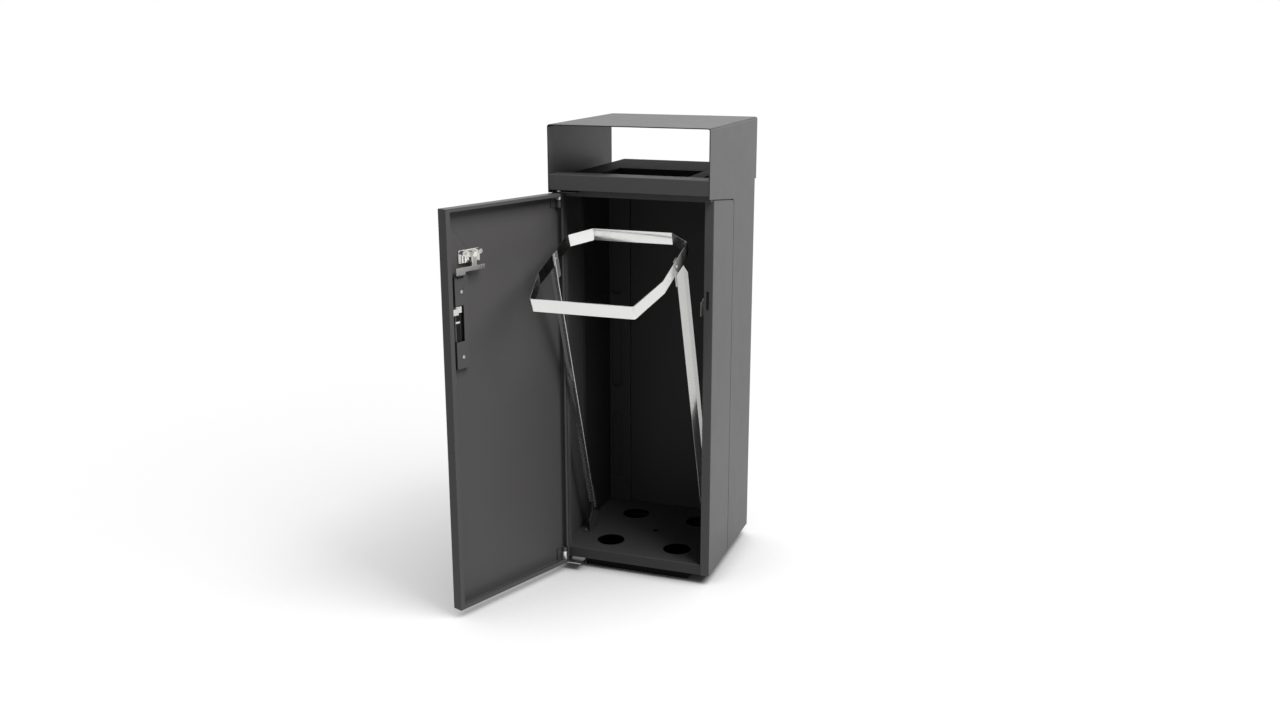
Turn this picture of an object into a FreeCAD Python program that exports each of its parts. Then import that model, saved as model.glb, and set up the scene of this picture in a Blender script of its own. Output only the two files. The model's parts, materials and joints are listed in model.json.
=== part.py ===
import FreeCAD
import Part
import Sketcher
import math
import os

# Outdoor waste bin with an open chute under a hood, a side-hung door and a bag frame that swings out.
# Frame: +Z up, the door faces -Y, the origin is on the ground at the axis of the anchor hole.
# The door and its lock are drawn shut and then turned open, the bag frame is drawn upright and
# then leaned out, so every size below is the size a maker would read off the piece.

doc = FreeCAD.newDocument("waste_bin")
sheet = doc.addObject("Spreadsheet::Sheet", "Sizes")


class Size:
    """A number that remembers the spreadsheet expression it comes from."""

    def __init__(self, number, text):
        self.number = number
        self.text = text

    def __add__(self, other):
        return Size(self.number + number(other), "(" + self.text + " + " + text(other) + ")")

    def __radd__(self, other):
        return Size(number(other) + self.number, "(" + text(other) + " + " + self.text + ")")

    def __sub__(self, other):
        return Size(self.number - number(other), "(" + self.text + " - " + text(other) + ")")

    def __rsub__(self, other):
        return Size(number(other) - self.number, "(" + text(other) + " - " + self.text + ")")

    def __mul__(self, other):
        return Size(self.number * number(other), "(" + self.text + " * " + text(other) + ")")

    def __rmul__(self, other):
        return Size(number(other) * self.number, "(" + text(other) + " * " + self.text + ")")

    def __truediv__(self, other):
        return Size(self.number / number(other), "(" + self.text + " / " + text(other) + ")")

    def __neg__(self):
        return Size(-self.number, "(0 - " + self.text + ")")


def number(value):
    return value.number if isinstance(value, Size) else float(value)


def text(value):
    if isinstance(value, Size):
        return value.text
    return "(0 - " + repr(-float(value)) + ")" if value < 0 else repr(float(value))


def sine(angle):
    return Size(math.sin(math.radians(number(angle))), "sin(" + text(angle) + ")")


def cosine(angle):
    return Size(math.cos(math.radians(number(angle))), "cos(" + text(angle) + ")")


row = 0


def size(alias, value, meaning):
    """Adds one driving dimension to the spreadsheet."""
    global row
    row = row + 1
    cell = str(row)
    sheet.set("A" + cell, alias)
    sheet.set("B" + cell, str(value))
    sheet.setAlias("B" + cell, alias)
    sheet.set("C" + cell, meaning)
    return Size(float(value), "Sizes." + alias)


# Case
case_width = size("case_width", 450, "outside width of the hood and sides")
hood_depth = size("hood_depth", 470, "front to back of the hood")
case_height = size("case_height", 1270, "ground to the top of the hood")
anchor_shift = size("anchor_shift", 6, "anchor hole's axis behind the middle of the hood")
hood_sheet = size("hood_sheet", 3, "thickness of the hood's sheet")
inner_sheet = size("inner_sheet", 2, "thickness of the inner sheets")
hood_bend = size("hood_bend", 7, "outside radius of the hood's top bends")
rear_overhang = size("rear_overhang", 15, "hood past the rear wall")
front_overhang = size("front_overhang", 43, "hood past the jambs")
side_end_drop = size("side_end_drop", 2, "crosspiece to the rear lower edge of the hood")
groove_front_drop = size("groove_front_drop", 7, "crosspiece to the hood side's front lower corner")
groove_drop = size("groove_drop", 26, "fall of the hood side's lower edge to the seam")
groove_bend = size("groove_bend", 16, "radius at the top of the seam")
groove_gap = size("groove_gap", 3, "open groove between hood side and front side")
seam_shift = size("seam_shift", 0.5, "seam in the sides behind the middle of the hood")
plinth_inset = size("plinth_inset", 70, "side of the case to the plinth")
plinth_front_inset = size("plinth_front_inset", 25, "jambs to the front of the plinth")
plinth_rear_inset = size("plinth_rear_inset", 41, "rear wall to the back of the plinth")
plinth_height = size("plinth_height", 28, "height of the plinth")
plinth_sheet = size("plinth_sheet", 3, "thickness of the plinth's sheet")
anchor_hole = size("anchor_hole", 17, "diameter of the anchor hole")

# Floor
floor_rise = size("floor_rise", 30, "depth of the floor tray")
drain_hole = size("drain_hole", 80, "diameter of the four large holes")
drain_across = size("drain_across", 204, "spacing of the large holes from side to side")
drain_front_gap = size("drain_front_gap", 87, "floor's front edge to the middle of a large hole")
drain_rear_gap = size("drain_rear_gap", 103, "rear wall to the middle of a large hole")
small_hole = size("small_hole", 5, "diameter of the two small holes")
small_gap = size("small_gap", 5, "edge of a large hole to the middle of a small one")
small_lead = size("small_lead", 28, "small holes in front of the large ones")

# Front
left_jamb = size("left_jamb", 28, "width of the hinge jamb")
right_jamb = size("right_jamb", 25, "width of the lock jamb")
header_height = size("header_height", 20, "height of the header strip")
jamb_lip = size("jamb_lip", 16, "depth of the lips inside the door opening")
fascia_height = size("fascia_height", 42, "height of the crosspiece under the chute")
chute_drop = size("chute_drop", 173, "top of the hood to the lower edge of the crosspiece")
sill_depth = size("sill_depth", 60, "depth of the sill")
strike_slot_length = size("strike_slot_length", 51, "length of the slot beside the strike")
strike_slot_width = size("strike_slot_width", 8, "width of the slot beside the strike")
strike_slot_gap = size("strike_slot_gap", 6, "edge of the lock jamb to the slot")

# Hopper
pan_gap = size("pan_gap", 43, "side of the hood to the hopper's rim")
pan_front = size("pan_front", 50, "hood front to the hopper's front edge")
pan_fall = size("pan_fall", 6, "fall of the hopper from rim to hole")
mouth_gap = size("mouth_gap", 99, "side of the hood to the hopper's hole")
mouth_rear = size("mouth_rear", 193, "hopper's hole to the back of the hood")
mouth_front = size("mouth_front", 90, "hood front to the hopper's hole")
collar_depth = size("collar_depth", 30, "depth of the collar under the hole")
pan_lip = size("pan_lip", 17, "rear lip of the hopper")
wall_tongue_gap = size("wall_tongue_gap", 12, "side of the hopper to the rear wall's tongue")
wall_clear = size("wall_clear", 0.4, "gap between the rear wall's tongue and the hopper")

# Rear uprights
post_width = size("post_width", 67, "width of a rear upright")
post_standoff = size("post_standoff", 9, "rear wall to the front of an upright")
post_slot_width = size("post_slot_width", 33, "width of a slot in the uprights")
post_foot = size("post_foot", 81, "foot of an upright to its lowest slot")
post_head = size("post_head", 138, "top of an upright to its highest slot")
post_bridge = size("post_bridge", 82, "sheet left between two slots")
post_slot_inset = size("post_slot_inset", 23, "side wall to the middle of a slot")
post_slots = 3

# Door
door_reveal = size("door_reveal", 11.5, "side of the case to the door's edge")
door_head_gap = size("door_head_gap", 8.5, "door's upper edge to the crosspiece")
door_foot = size("door_foot", 24, "ground to the door's lower edge")
door_depth = size("door_depth", 30, "depth of the door tray")
door_front = size("door_front", 10, "hood front to the door's face")
door_bend = size("door_bend", 3, "radius of the door's corners")
lip_free = size("lip_free", 14, "return lip on the free edge")
lip_top = size("lip_top", 9, "return lip at the top")
lip_foot = size("lip_foot", 11, "return lip at the bottom")
lip_hinge = size("lip_hinge", 8, "return lip on the hinge side")
hinge_rim = size("hinge_rim", 18, "depth of the tray on the hinge side, so that it clears the arms")
door_open = size("door_open", 110.5, "opening angle of the door as shown")
hinge_inset = size("hinge_inset", 10.5, "door's hinge edge to the hinge axis")
hinge_depth = size("hinge_depth", 12, "door's face to the hinge axis")
pin_diameter = size("pin_diameter", 8, "diameter of the hinge pins")
running_gap = size("running_gap", 0.05, "radial running clearance of the pins")
bracket_sheet = size("bracket_sheet", 3, "thickness of the hinge brackets")
washer_gap = size("washer_gap", 0.5, "gap between a bracket and the door")
knuckle_diameter = size("knuckle_diameter", 14, "outside diameter of the knuckles")
leaf_height = size("leaf_height", 26, "height of a hinge leaf above the door's wall")
bracket_length = size("bracket_length", 62, "length of a hinge bracket")
bracket_edge = size("bracket_edge", 9, "hinge axis to the free edges of a bracket")
bracket_corner = size("bracket_corner", 6, "radius of a bracket's free corner")
bracket_back = size("bracket_back", 23, "jambs to the back of the lower bracket")
bracket_step = size("bracket_step", 40, "length of the lower bracket's step")
bracket_tab = size("bracket_tab", 42, "length of the upper bracket's tab")
bracket_rivet_inset = size("bracket_rivet_inset", 10, "bracket's end to its first rivet")
bracket_rivet_pitch = size("bracket_rivet_pitch", 22, "spacing of a bracket's rivets")
pin_over = size("pin_over", 8, "hinge pin past the height of its leaf")
leaf_web = size("leaf_web", 7, "width of the web that carries a knuckle")
leaf_reach = size("leaf_reach", 24, "hinge axis to the far edge of a leaf")
leaf_more = size("leaf_more", 12, "leaf above the part that carries the pin")
relief_gap = size("relief_gap", 2, "room round a leaf in the door's lip")

# Lock, all measured from the door's free edge, its face and the ground
case_left = size("case_left", 59, "free edge to the lock case")
case_wide = size("case_wide", 69, "width of the lock case")
case_under_core = size("case_under_core", 31, "lock's axis to the lower edge of the lock case")
case_tall = size("case_tall", 42, "height of the lock case")
case_thick = size("case_thick", 18, "thickness of the lock case")
case_screw_inset = size("case_screw_inset", 7, "edges of the lock case to its screws")
case_screw_high = size("case_screw_high", 1.8, "height of the lock case's screw heads")
core_inset = size("core_inset", 95, "free edge to the lock's axis")
core_drop = size("core_drop", 122.5, "door's upper edge to the lock's axis")
core_diameter = size("core_diameter", 14, "diameter of the lock core")
nose_diameter = size("nose_diameter", 24, "diameter of the round nose outside")
nose_high = size("nose_high", 1.5, "height of the round nose")
nose_wall = size("nose_wall", 2, "wall of the nose's sleeve")
keyway_wide = size("keyway_wide", 1.6, "width of the keyway")
keyway_tall = size("keyway_tall", 8, "height of the keyway")
nut_width = size("nut_width", 13, "width across the flats of the nut")
nut_thick = size("nut_thick", 4, "thickness of the nut")
lever_thick = size("lever_thick", 3, "thickness of the lever")
lever_back = size("lever_back", 36, "lock's axis to the far end of the lever")
lever_foot_long = size("lever_foot_long", 30, "length of the lever's lower step")
lever_rise = size("lever_rise", 7, "height of the lever's lower step")
lever_gap = size("lever_gap", 3, "guard to the lever")
lever_overlap = size("lever_overlap", 2, "lever's bar in front of the lock case")
pusher_inset = size("pusher_inset", 6, "lever's end to its pusher")
pusher_long = size("pusher_long", 10, "length of the lever's pusher")
guard_left = size("guard_left", 34, "free edge to the guard")
guard_wide = size("guard_wide", 43, "width of the guard")
guard_gap = size("guard_gap", 20, "lock case to the guard")
guard_tall = size("guard_tall", 240, "height of the guard")
guard_thick = size("guard_thick", 13, "height of the guard above the sheet")
guard_sheet = size("guard_sheet", 1.5, "thickness of the guard's sheet")
guard_screw_inset = size("guard_screw_inset", 22, "guard's right edge to its screws")
guard_screw_up = size("guard_screw_up", 30, "guard's lower end to its lower screw")
guard_screw_down = size("guard_screw_down", 41, "guard's upper end to its upper screw")
guard_screw_high = size("guard_screw_high", 2.5, "height of the guard's screw heads")
dip_inset = size("dip_inset", 30, "guard's right edge to the far side of the dip for the lever")
dip_wide = size("dip_wide", 22, "width of the dip for the lever")
dip_deep = size("dip_deep", 6.5, "depth of the dip for the lever")
notch_up = size("notch_up", 71, "guard's lower end to its notch")
notch_tall = size("notch_tall", 93, "height of the guard's notch")
notch_wide = size("notch_wide", 27, "width of the guard's notch")
bar_inset = size("bar_inset", 37, "free edge to the sliding bar")
bar_wide = size("bar_wide", 14, "width of the sliding bar")
bar_thick = size("bar_thick", 6, "thickness of the sliding bar")
bar_travel = size("bar_travel", 8, "travel of the sliding bar")
bar_up = size("bar_up", 15, "guard's lower end to the sliding bar")
bar_proud = size("bar_proud", 2.5, "sliding bar above the guard")
bar_clear = size("bar_clear", 2, "gap between the door's sheet and the bar")
nose_up = size("nose_up", 147.5, "guard's lower end to the bar's nose")
nose_tall = size("nose_tall", 16, "height of the bar's nose")
nose_reach = size("nose_reach", 8.5, "height of the nose above the bar")
nose_side = size("nose_side", 5, "nose past the side of the bar")
finger_thick = size("finger_thick", 4, "thickness of the latch finger")
finger_tall = size("finger_tall", 16, "height of the latch finger")
finger_long = size("finger_long", 25, "length of the latch finger")
finger_inset = size("finger_inset", 12, "free edge to the tip of the latch finger")
finger_drop = size("finger_drop", 4, "nose's lower edge to the finger's lower edge")
tongue_thick = size("tongue_thick", 3, "thickness of the strike")
tongue_proud = size("tongue_proud", 18, "strike in front of the jambs")
tongue_gap = size("tongue_gap", 2.5, "gap between the raised finger and the strike")
tongue_tall = size("tongue_tall", 39, "height of the strike's tongue")
tongue_notch = size("tongue_notch", 16, "depth of the strike's notch")
tongue_notch_wide = size("tongue_notch_wide", 8, "width of the strike's notch")
tongue_shift = size("tongue_shift", 1, "strike off the lock jamb's lip")
tongue_over = size("tongue_over", 6, "strike's rear part above its tongue")
strike_rivet_up = size("strike_rivet_up", 8, "strike's lower edge to its lower rivet")
strike_rivet_pitch = size("strike_rivet_pitch", 29, "spacing of the strike's rivets")
screw_head = size("screw_head", 10, "diameter of the screw heads")
screw_shank = size("screw_shank", 5, "diameter of the screw shanks")

# Bag frame, drawn upright with its pivot at the origin
ring_front_gap = size("ring_front_gap", 88.6, "side of the case to the end of the ring's front side")
ring_gap = size("ring_gap", 56, "side of the case to the ring")
ring_rear_gap = size("ring_rear_gap", 111.9, "side of the case to the end of the ring's rear side")
ring_short = size("ring_short", 84.6, "hood's depth less the ring's length")
ring_front_run = size("ring_front_run", 130.7, "run of the front slanting sides")
ring_rear_run = size("ring_rear_run", 46.1, "run of the rear slanting sides")
strip_height = size("strip_height", 35, "height of the ring's strip")
strip_thick = size("strip_thick", 3, "thickness of the ring's strip")
ring_bend = size("ring_bend", 7, "outside radius of the ring's corners")
pivot_back = size("pivot_back", 255, "ring's front to the pivot")
ring_drop = size("ring_drop", 98.5, "crosspiece to the top of the upright ring")
frame_lean = size("frame_lean", 18.7, "lean of the bag frame as shown")
pivot_setback = size("pivot_setback", 192.5, "hood front to the pivot")
pivot_height = size("pivot_height", 132.5, "ground to the pivot")
arm_thick = size("arm_thick", 2.5, "thickness of the arms")
arm_leg = size("arm_leg", 20.5, "width of an arm's slanting leg")
arm_leg_turn = size("arm_leg_turn", 43, "angle between the slanting leg and the width of the frame")
arm_wing = size("arm_wing", 10.2, "width of an arm's outer leg")
arm_wing_turn = size("arm_wing_turn", 9, "angle between the outer leg and the width of the frame")
arm_fold_gap = size("arm_fold_gap", 43, "side of the case to the fold of an arm")
arm_fold_forward = size("arm_fold_forward", 6, "fold of an arm in front of the pivot")
arm_end_gap = size("arm_end_gap", 16, "pivot to the lower end of an arm")
arm_point = size("arm_point", 20, "ring's top edge to the arm's point")
arm_slope = size("arm_slope", 26, "fall of the arm's slanted top")
slant_inner = size("slant_inner", 4, "slanted top past an arm's inner edge")
slant_outer = size("slant_outer", 2, "slanted top past an arm's outer edge")
tab_wide = size("tab_wide", 20, "width of the tab on the ring")
tab_long = size("tab_long", 74, "length of the tab on the ring")
tab_forward = size("tab_forward", 3, "tab's rear edge in front of the pivot")
foot_thick = size("foot_thick", 3, "thickness of the feet and lugs")
foot_gap = size("foot_gap", 47.5, "side of the case to the middle of a foot")
foot_behind = size("foot_behind", 13, "pivot to the rear edge of a foot")
foot_below = size("foot_below", 14, "pivot to the lower end of a foot")
foot_above = size("foot_above", 66, "pivot to the upper end of a foot")
pivot_pin = size("pivot_pin", 10, "diameter of the pivot pins")
lug_base = size("lug_base", 64, "length of a floor lug at the floor")
lug_top = size("lug_top", 26, "length of a floor lug at the pivot")
lug_flange = size("lug_flange", 26, "width of a lug's flange on the floor")
lug_low_shoulder = size("lug_low_shoulder", 36, "pivot to the lower end of a lug's slanted sides")
lug_high_shoulder = size("lug_high_shoulder", 14, "pivot to the upper end of a lug's slanted sides")
pin_head_thick = size("pin_head_thick", 3, "thickness of a pivot pin's head")
pin_past = size("pin_past", 2, "pivot pin past its lug")
side_gap = size("side_gap", 0.5, "gap between a foot and its lug")
rivet_head = size("rivet_head", 8, "diameter of the rivet heads")
rivet_dome = size("rivet_dome", 1.6, "height of the rivet heads")

# Places worked out from the sizes
half_width = case_width / 2
anchor_setback = hood_depth / 2 + anchor_shift
seam_setback = hood_depth / 2 + seam_shift
fascia_foot = case_height - chute_drop
hood_y = -anchor_setback
hood_back = hood_y + hood_depth
wall_back = hood_back - rear_overhang
jamb_y = hood_y + front_overhang
seam_y = hood_y + seam_setback
groove_front_height = fascia_foot - groove_front_drop
side_end_height = fascia_foot - side_end_drop
seam_top = groove_front_height - groove_drop
groove_slope = groove_drop / seam_setback
inside_half = half_width - hood_sheet
side_inner = half_width - inner_sheet
floor_top = plinth_height + floor_rise
wall_front = wall_back - inner_sheet
opening_left = -half_width + left_jamb
opening_right = half_width - right_jamb
header_top = fascia_foot
header_foot = header_top - header_height
sill_top = fascia_foot + fascia_height
free_x = half_width - door_reveal
hinge_x = -free_x + hinge_inset
door_y = hood_y + door_front
hinge_y = door_y + hinge_depth
door_back = door_y + door_depth
door_top = fascia_foot - door_head_gap
door_height = door_top - door_foot
core_height = door_top - core_drop
case_low = core_height - case_under_core
guard_low = case_low - guard_gap - guard_tall
notch_low = guard_low + notch_up
bar_low = guard_low + bar_up
bar_tall = guard_tall + bar_proud - bar_up
nose_low = guard_low + nose_up
finger_foot = nose_low - finger_drop
tongue_top = finger_foot - tongue_gap
pivot_y = hood_y + pivot_setback
ring_rise = fascia_foot - ring_drop - pivot_height
ring_width = case_width - ring_gap * 2
ring_length = hood_depth - ring_short
pan_width = case_width - pan_gap * 2
mouth_width = case_width - mouth_gap * 2
mouth_length = hood_depth - mouth_front - mouth_rear

parts = []


def body(label):
    """Starts a sub-part and remembers it for the export."""
    made = doc.addObject("PartDesign::Body", label)
    made.Label = label
    parts.append(made)
    return made


def draw(sketch, loop):
    """Draws one closed outline whose every size is bound to the spreadsheet."""
    first = sketch.GeometryCount
    kind = loop[0]
    if kind == "round":
        across, up, diameter = loop[1:]
        centre = FreeCAD.Vector(number(across), number(up), 0)
        circle = Part.Circle(centre, FreeCAD.Vector(0, 0, 1), number(diameter) / 2)
        sketch.addGeometry(circle, False)
        fix_point(sketch, first, 3, across, up)
        hold = sketch.addConstraint(Sketcher.Constraint("Diameter", first, number(diameter)))
        sketch.setExpression("Constraints[" + str(hold) + "]", text(diameter))
        return
    if kind == "slot":
        draw_slot(sketch, first, *loop[1:])
        return
    count = len(loop)
    for index in range(count):
        here = loop[index]
        there = loop[(index + 1) % count]
        start = FreeCAD.Vector(number(here[0]), number(here[1]), 0)
        end = FreeCAD.Vector(number(there[0]), number(there[1]), 0)
        sketch.addGeometry(Part.LineSegment(start, end), False)
    for index in range(count):
        following = first + (index + 1) % count
        sketch.addConstraint(Sketcher.Constraint("Coincident", first + index, 2, following, 1))
    for index in range(count):
        fix_point(sketch, first + index, 1, loop[index][0], loop[index][1])


def fix_point(sketch, element, point, across, up):
    """Ties a point to the sketch's origin by two bound distances."""
    for kind, value in (("DistanceX", across), ("DistanceY", up)):
        hold = sketch.addConstraint(Sketcher.Constraint(kind, -1, 1, element, point, number(value)))
        sketch.setExpression("Constraints[" + str(hold) + "]", text(value))


def draw_slot(sketch, first, across, up, wide, tall):
    """Draws an upright slot with round ends."""
    radius = wide / 2
    reach = tall / 2 - radius
    x, y = number(across), number(up)
    r, run = number(radius), number(reach)
    axis = FreeCAD.Vector(0, 0, 1)
    low = Part.Circle(FreeCAD.Vector(x, y - run, 0), axis, r)
    high = Part.Circle(FreeCAD.Vector(x, y + run, 0), axis, r)
    sketch.addGeometry(Part.ArcOfCircle(low, math.pi, 2 * math.pi), False)
    sketch.addGeometry(Part.ArcOfCircle(high, 0, math.pi), False)
    right = Part.LineSegment(FreeCAD.Vector(x + r, y - run, 0), FreeCAD.Vector(x + r, y + run, 0))
    left = Part.LineSegment(FreeCAD.Vector(x - r, y + run, 0), FreeCAD.Vector(x - r, y - run, 0))
    sketch.addGeometry(right, False)
    sketch.addGeometry(left, False)
    sketch.addConstraint(Sketcher.Constraint("Tangent", first, 2, first + 2, 1))
    sketch.addConstraint(Sketcher.Constraint("Tangent", first + 2, 2, first + 1, 1))
    sketch.addConstraint(Sketcher.Constraint("Tangent", first + 1, 2, first + 3, 1))
    sketch.addConstraint(Sketcher.Constraint("Tangent", first + 3, 2, first, 1))
    fix_point(sketch, first, 3, across, up - reach)
    fix_point(sketch, first + 1, 3, across, up + reach)
    hold = sketch.addConstraint(Sketcher.Constraint("Radius", first, r))
    sketch.setExpression("Constraints[" + str(hold) + "]", text(radius))


def sketch_on(owner, name, plane, place, loops):
    """Adds a sketch on one of the body's own planes, moved along +Z, +Y or +X to its place."""
    sketch = owner.newObject("Sketcher::SketchObject", name)
    origin_plane = [item for item in owner.Origin.OriginFeatures if item.Role == plane + "_Plane"][0]
    sketch.AttachmentSupport = [(origin_plane, "")]
    sketch.MapMode = "FlatFace"
    along = -place if plane == "XZ" else place
    sketch.setExpression("AttachmentOffset.Base.z", text(along))
    for loop in loops:
        draw(sketch, loop)
    return sketch


def pad(owner, name, plane, start, thickness, loops):
    """Adds material from start, thickness further along the plane's axis."""
    place = start + thickness if plane == "XZ" else start + 0
    sketch = sketch_on(owner, name + "_outline", plane, place, loops)
    feature = owner.newObject("PartDesign::Pad", name)
    feature.Profile = sketch
    feature.setExpression("Length", text(thickness))
    owner.Tip = feature
    return feature


def cut(owner, name, plane, start, depth, loops):
    """Takes material away from start, depth further along the plane's axis."""
    place = start + 0 if plane == "XZ" else start + depth
    sketch = sketch_on(owner, name + "_outline", plane, place, loops)
    feature = owner.newObject("PartDesign::Pocket", name)
    feature.Profile = sketch
    feature.setExpression("Length", text(depth))
    owner.Tip = feature
    return feature


def rounded(owner, name, radius, wanted):
    """Rounds the edges that the test picks from the body as it stands."""
    doc.recompute()
    base = owner.Tip
    edges = base.Shape.Edges
    names = ["Edge" + str(index + 1) for index, edge in enumerate(edges) if wanted(edge)]
    feature = owner.newObject("PartDesign::Fillet", name)
    feature.Base = (base, names)
    feature.setExpression("Radius", text(radius))
    owner.Tip = feature
    return feature


def chamfered(owner, name, width, wanted):
    """Chamfers the edges that the test picks from the body as it stands."""
    doc.recompute()
    base = owner.Tip
    edges = base.Shape.Edges
    names = ["Edge" + str(index + 1) for index, edge in enumerate(edges) if wanted(edge)]
    feature = owner.newObject("PartDesign::Chamfer", name)
    feature.Base = (base, names)
    feature.setExpression("Size", text(width))
    owner.Tip = feature
    return feature


def middle_of(edge):
    return edge.valueAt((edge.FirstParameter + edge.LastParameter) / 2)


def runs(edge, axis):
    """True for a straight edge along X, Y or Z."""
    if len(edge.Vertexes) != 2 or edge.Curve.TypeId != "Part::GeomLine":
        return False
    span = edge.Vertexes[1].Point - edge.Vertexes[0].Point
    return abs(abs(span.normalize()[axis]) - 1) < 1e-6


def near(value, target):
    return abs(value - number(target)) < 0.01


def along_axis(axis, x=None, y=None, z=None, side=None):
    """Chooses the straight edges along an axis whose middle lies at the given places."""

    def wanted(edge):
        middle = middle_of(edge)
        places = ((x, middle.x), (y, middle.y), (z, middle.z), (side, abs(middle.x)))
        return runs(edge, axis) and all(near(value, place) for place, value in places if place is not None)

    return wanted


def rims(diameter, y=None, z=None):
    """Chooses the circles of a diameter that lie at one of the given places."""

    def wanted(edge):
        if edge.Curve.TypeId != "Part::GeomCircle" or not near(edge.Curve.Radius * 2, diameter):
            return False
        middle = middle_of(edge)
        found = [near(middle.y, place) for place in y or []] + [near(middle.z, place) for place in z or []]
        return any(found)

    return wanted


def rectangle(left, low, right, high):
    return [(left, low), (right, low), (right, high), (left, high)]


def hexagon_at(across, up, flats):
    """Corners of a hexagon with the given width across its flats."""
    flat = flats / 2
    corner = flats * 0.57735
    right = [(across + corner, up + 0), (across + corner / 2, up + flat)]
    left = [(across - corner / 2, up + flat), (across - corner, up + 0)]
    return right + left + [(across - corner / 2, up - flat), (across + corner / 2, up - flat)]


def turn_with_door(piece):
    """Turns a piece drawn with the door shut to the opening shown."""
    cos_open, sin_open = cosine(door_open), sine(door_open)
    piece.Placement = FreeCAD.Placement(FreeCAD.Vector(), FreeCAD.Rotation(FreeCAD.Vector(0, 0, 1), -1))
    piece.setExpression("Placement.Rotation.Angle", text(-door_open))
    piece.setExpression("Placement.Base.x", text(hinge_x - hinge_x * cos_open - hinge_y * sin_open))
    piece.setExpression("Placement.Base.y", text(hinge_y + hinge_x * sin_open - hinge_y * cos_open))


def lean_with_frame(piece):
    """Leans a piece of the bag frame out about its pivot."""
    piece.Placement = FreeCAD.Placement(FreeCAD.Vector(), FreeCAD.Rotation(FreeCAD.Vector(1, 0, 0), 1))
    piece.setExpression("Placement.Rotation.Angle", text(frame_lean))
    piece.setExpression("Placement.Base.y", text(pivot_y))
    piece.setExpression("Placement.Base.z", text(pivot_height))


# Plinth: bottom plate with the anchor hole and a wall all round
plinth = body("plinth")
half_x = half_width - plinth_inset
low_y = jamb_y + plinth_front_inset
high_y = wall_back - plinth_rear_inset
outside = rectangle(-half_x, low_y, half_x, high_y)
wall_x = half_x - plinth_sheet
inside = rectangle(-wall_x, low_y + plinth_sheet, wall_x, high_y - plinth_sheet)
pad(plinth, "plinth_plate", "XY", 0, plinth_sheet, [outside, ("round", 0, 0, anchor_hole)])
pad(plinth, "plinth_wall", "XY", plinth_sheet, plinth_height - plinth_sheet, [outside, inside])
rounded(plinth, "plinth_corners", door_bend, along_axis(2, side=half_x))

# Floor: a turned-down tray with its holes, its lower flange turned in over the plinth's walls
floor_plate = body("floor_plate")
floor_front = jamb_y + inner_sheet
drain_front = floor_front + drain_front_gap
drain_rear = wall_front - drain_rear_gap
small_x = drain_across / 2 + drain_hole / 2 + small_gap
holes = [("round", 0, 0, anchor_hole)]
for side in (-1, 1):
    for along in (drain_front, drain_rear):
        holes.append(("round", drain_across / 2 * side, along, drain_hole))
    holes.append(("round", small_x * side, drain_front - small_lead, small_hole))
outside = rectangle(-inside_half, floor_front, inside_half, wall_front)
skirt_x = inside_half - inner_sheet
inside = rectangle(-skirt_x, floor_front + inner_sheet, skirt_x, wall_front - inner_sheet)
pad(floor_plate, "floor_sheet", "XY", floor_top - inner_sheet, inner_sheet, [outside] + holes)
pad(floor_plate, "floor_skirt", "XY", plinth_height, floor_rise - inner_sheet, [outside, inside])
closing = rectangle(-wall_x, low_y + plinth_sheet, wall_x, high_y - plinth_sheet)
pad(floor_plate, "floor_flange", "XY", plinth_height, inner_sheet, [outside, closing])
rounded(floor_plate, "floor_bends", inner_sheet, along_axis(0, y=floor_front, z=floor_top))

# Hood and sides: one folded sheet, open at the front and the rear
hood_shell = body("hood_shell")
silhouette = [
    (hood_y, groove_front_height),
    (seam_y, seam_top),
    (seam_y, plinth_height),
    (wall_back, plinth_height),
    (wall_back, side_end_height),
    (hood_back, side_end_height),
    (hood_back, case_height),
    (hood_y, case_height),
]
pad(hood_shell, "hood_block", "YZ", -half_width, case_width, [silhouette])
rounded(hood_shell, "hood_bends", hood_bend, along_axis(1, z=case_height))
rounded(hood_shell, "seam_bends", groove_bend, along_axis(0, y=seam_y, z=seam_top))
hollow = rectangle(-inside_half, 0, inside_half, case_height - hood_sheet)
cut(hood_shell, "hood_hollow", "XZ", hood_y - 1, hood_depth + 2, [hollow])
inner_corner = along_axis(1, z=case_height - hood_sheet, side=inside_half)
rounded(hood_shell, "hood_inner_bends", hood_bend - hood_sheet, inner_corner)

# Front frame: jambs, header and the side returns that meet the groove
front_frame = body("front_frame")
ring_low = groove_front_height - groove_slope * front_overhang - groove_gap
face = [
    (-half_width, plinth_height),
    (opening_left, plinth_height),
    (opening_left, header_foot),
    (opening_right, header_foot),
    (opening_right, plinth_height),
    (half_width, plinth_height),
    (half_width, ring_low),
    (inside_half, ring_low),
    (inside_half, header_top),
    (-inside_half, header_top),
    (-inside_half, ring_low),
    (-half_width, ring_low),
]
slot_middle = tongue_top + 0.5
slot_across = opening_right + strike_slot_width / 2 + strike_slot_gap
strike_slot = ("slot", slot_across, slot_middle, strike_slot_width, strike_slot_length)
pad(front_frame, "frame_face", "XZ", jamb_y, inner_sheet, [face, strike_slot])
return_end = seam_y - groove_gap
side_return = [
    (jamb_y + inner_sheet, plinth_height),
    (return_end, plinth_height),
    (return_end, seam_top - groove_gap),
    (jamb_y + inner_sheet, ring_low - groove_slope * inner_sheet),
]
pad(front_frame, "return_left", "YZ", -half_width, inner_sheet, [side_return])
pad(front_frame, "return_right", "YZ", side_inner, inner_sheet, [side_return])
lip_span = rectangle(jamb_y + inner_sheet, floor_top, jamb_y + inner_sheet + jamb_lip, header_foot)
pad(front_frame, "lip_left", "YZ", opening_left - inner_sheet, inner_sheet, [lip_span])
pad(front_frame, "lip_right", "YZ", opening_right, inner_sheet, [lip_span])
lip_end_left = opening_left - inner_sheet
lip_end_right = opening_right + inner_sheet
header_lip = rectangle(lip_end_left, header_foot, lip_end_right, header_foot + inner_sheet)
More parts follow.
